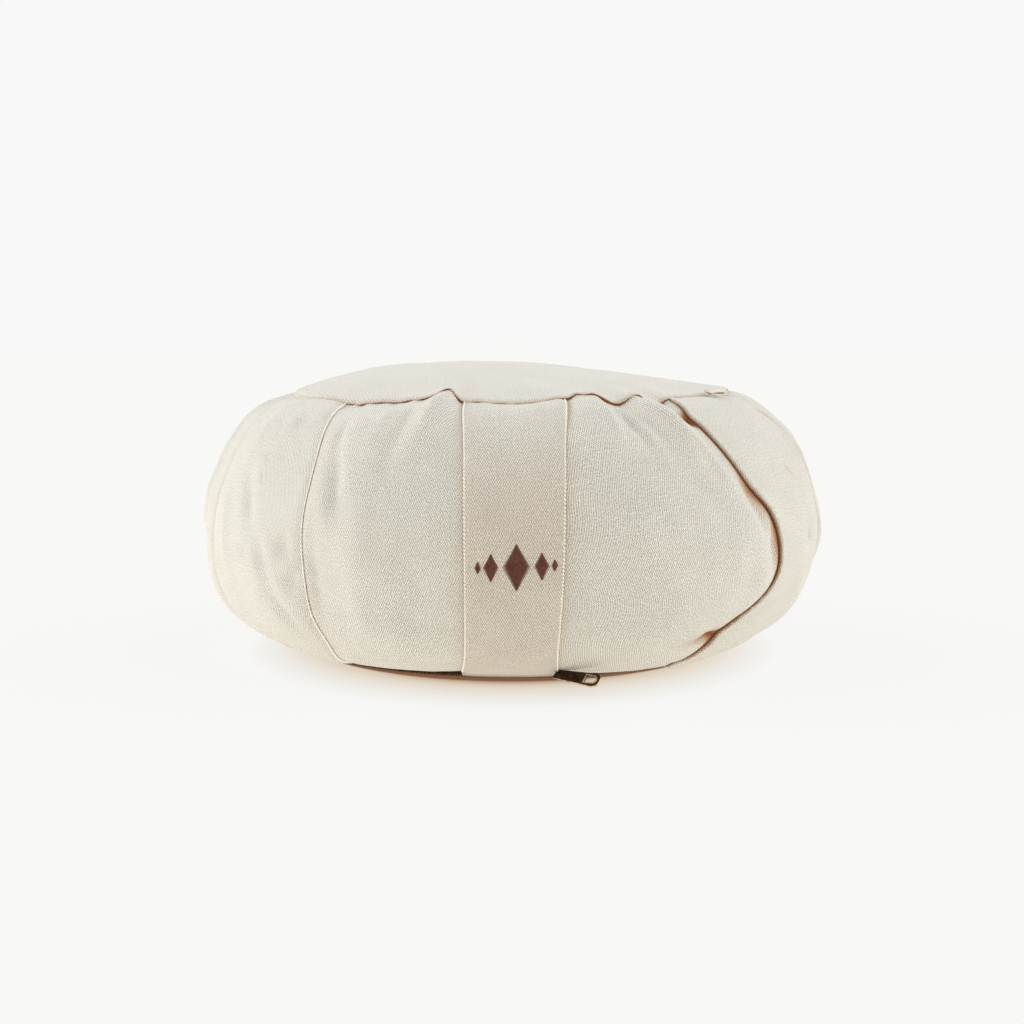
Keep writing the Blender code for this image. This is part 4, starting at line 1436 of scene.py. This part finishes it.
# ----------
# The tab in the top seam at the right: a short bare length of cotton tape, folded over once so
# that its two plies lie a little apart, both ends caught in the seam.
# ----------
TAB_AZIMUTH, TAB_RADIUS, TAB_HEIGHT, TAB_TILT = 58.5, 0.1310, 0.1524, 20.0
TAB_WIDTH, TAB_LENGTH, TAB_GAP = 0.0175, 0.012, 0.0007
TAB_SECTION = (
    # outward, upward, share of the gap: the lower ply outward, the slit, the upper ply back
    (-0.0026, -0.00060, 0.0),
    (0.0010, -0.00062, 0.0),
    (0.0022, -0.00056, 0.0),
    (0.0026, -0.00040, 0.0),
    (0.0023, -0.00024, 0.0),
    (0.0010, -0.00020, 0.0),
    (-0.0008, -0.00018, 0.0),
    (-0.0012, -0.00004, 0.3),
    (-0.0008, 0.00006, 0.7),
    (0.0010, 0.00008, 1.0),
    (0.0025, 0.00010, 1.0),
    (0.0029, 0.00026, 1.0),
    (0.0025, 0.00044, 1.0),
    (0.0010, 0.00050, 1.0),
    (-0.0026, 0.00044, 0.6),
)
TAB_SLIT = range(5, 10)
# The tape's light colour, then the painted shade in the hollows between its yarns.
TAB_LIGHT, TAB_YARN_GAP_SHADE = "#f3efe4", "#bdb6a8"

tape_canvas = canvas("cotton_herringbone_tape", TAB_LIGHT, TAB_YARN_GAP_SHADE, warp=0.0009, weft=0.0007)
section = np.array(TAB_SECTION)
tilt = math.radians(TAB_TILT)
loops = []
for share in np.linspace(-1, 1, 21):
    out = section[:, 0] * (1 - 0.05 * share**2) + 0.0003 * math.sin(3 * share)
    gap = TAB_GAP * (0.55 + 0.45 * share)
    up = section[:, 1] + section[:, 2] * gap + 0.0002 * math.cos(2.2 * share + 0.4)
    height = TAB_HEIGHT - out * math.sin(tilt) + up
    ring = around(TAB_AZIMUTH, TAB_RADIUS + out * math.cos(tilt), height)
    loops.append(ring + around(TAB_AZIMUTH + 90, share * TAB_WIDTH / 2, 0.0))
loops = np.array(loops)
tab, row, column = lofted("folded_seam_tab", loops, loops[0].mean(axis=0), loops[-1].mean(axis=0))
spans = np.tile(np.linspace(0, TAB_LENGTH, len(section) + 1), (len(loops), 1))
lay_section_weave(tab, row, column, spans, np.linspace(0, TAB_WIDTH, len(loops)))
# Painted shade: the slit between the tab's two plies is painted deep brown, for the shadow in the gap.
paint_shade(tab, np.where(np.isin(column, TAB_SLIT) & (row >= 0) & (row < len(loops)), 1.0, 0.0))
tab.data.materials.append(tape_canvas)
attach(tab, "root")
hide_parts("seam_tab")


size = {"cad": [list(corner) for corner in cad_box], "scene": [list(corner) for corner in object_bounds()]}
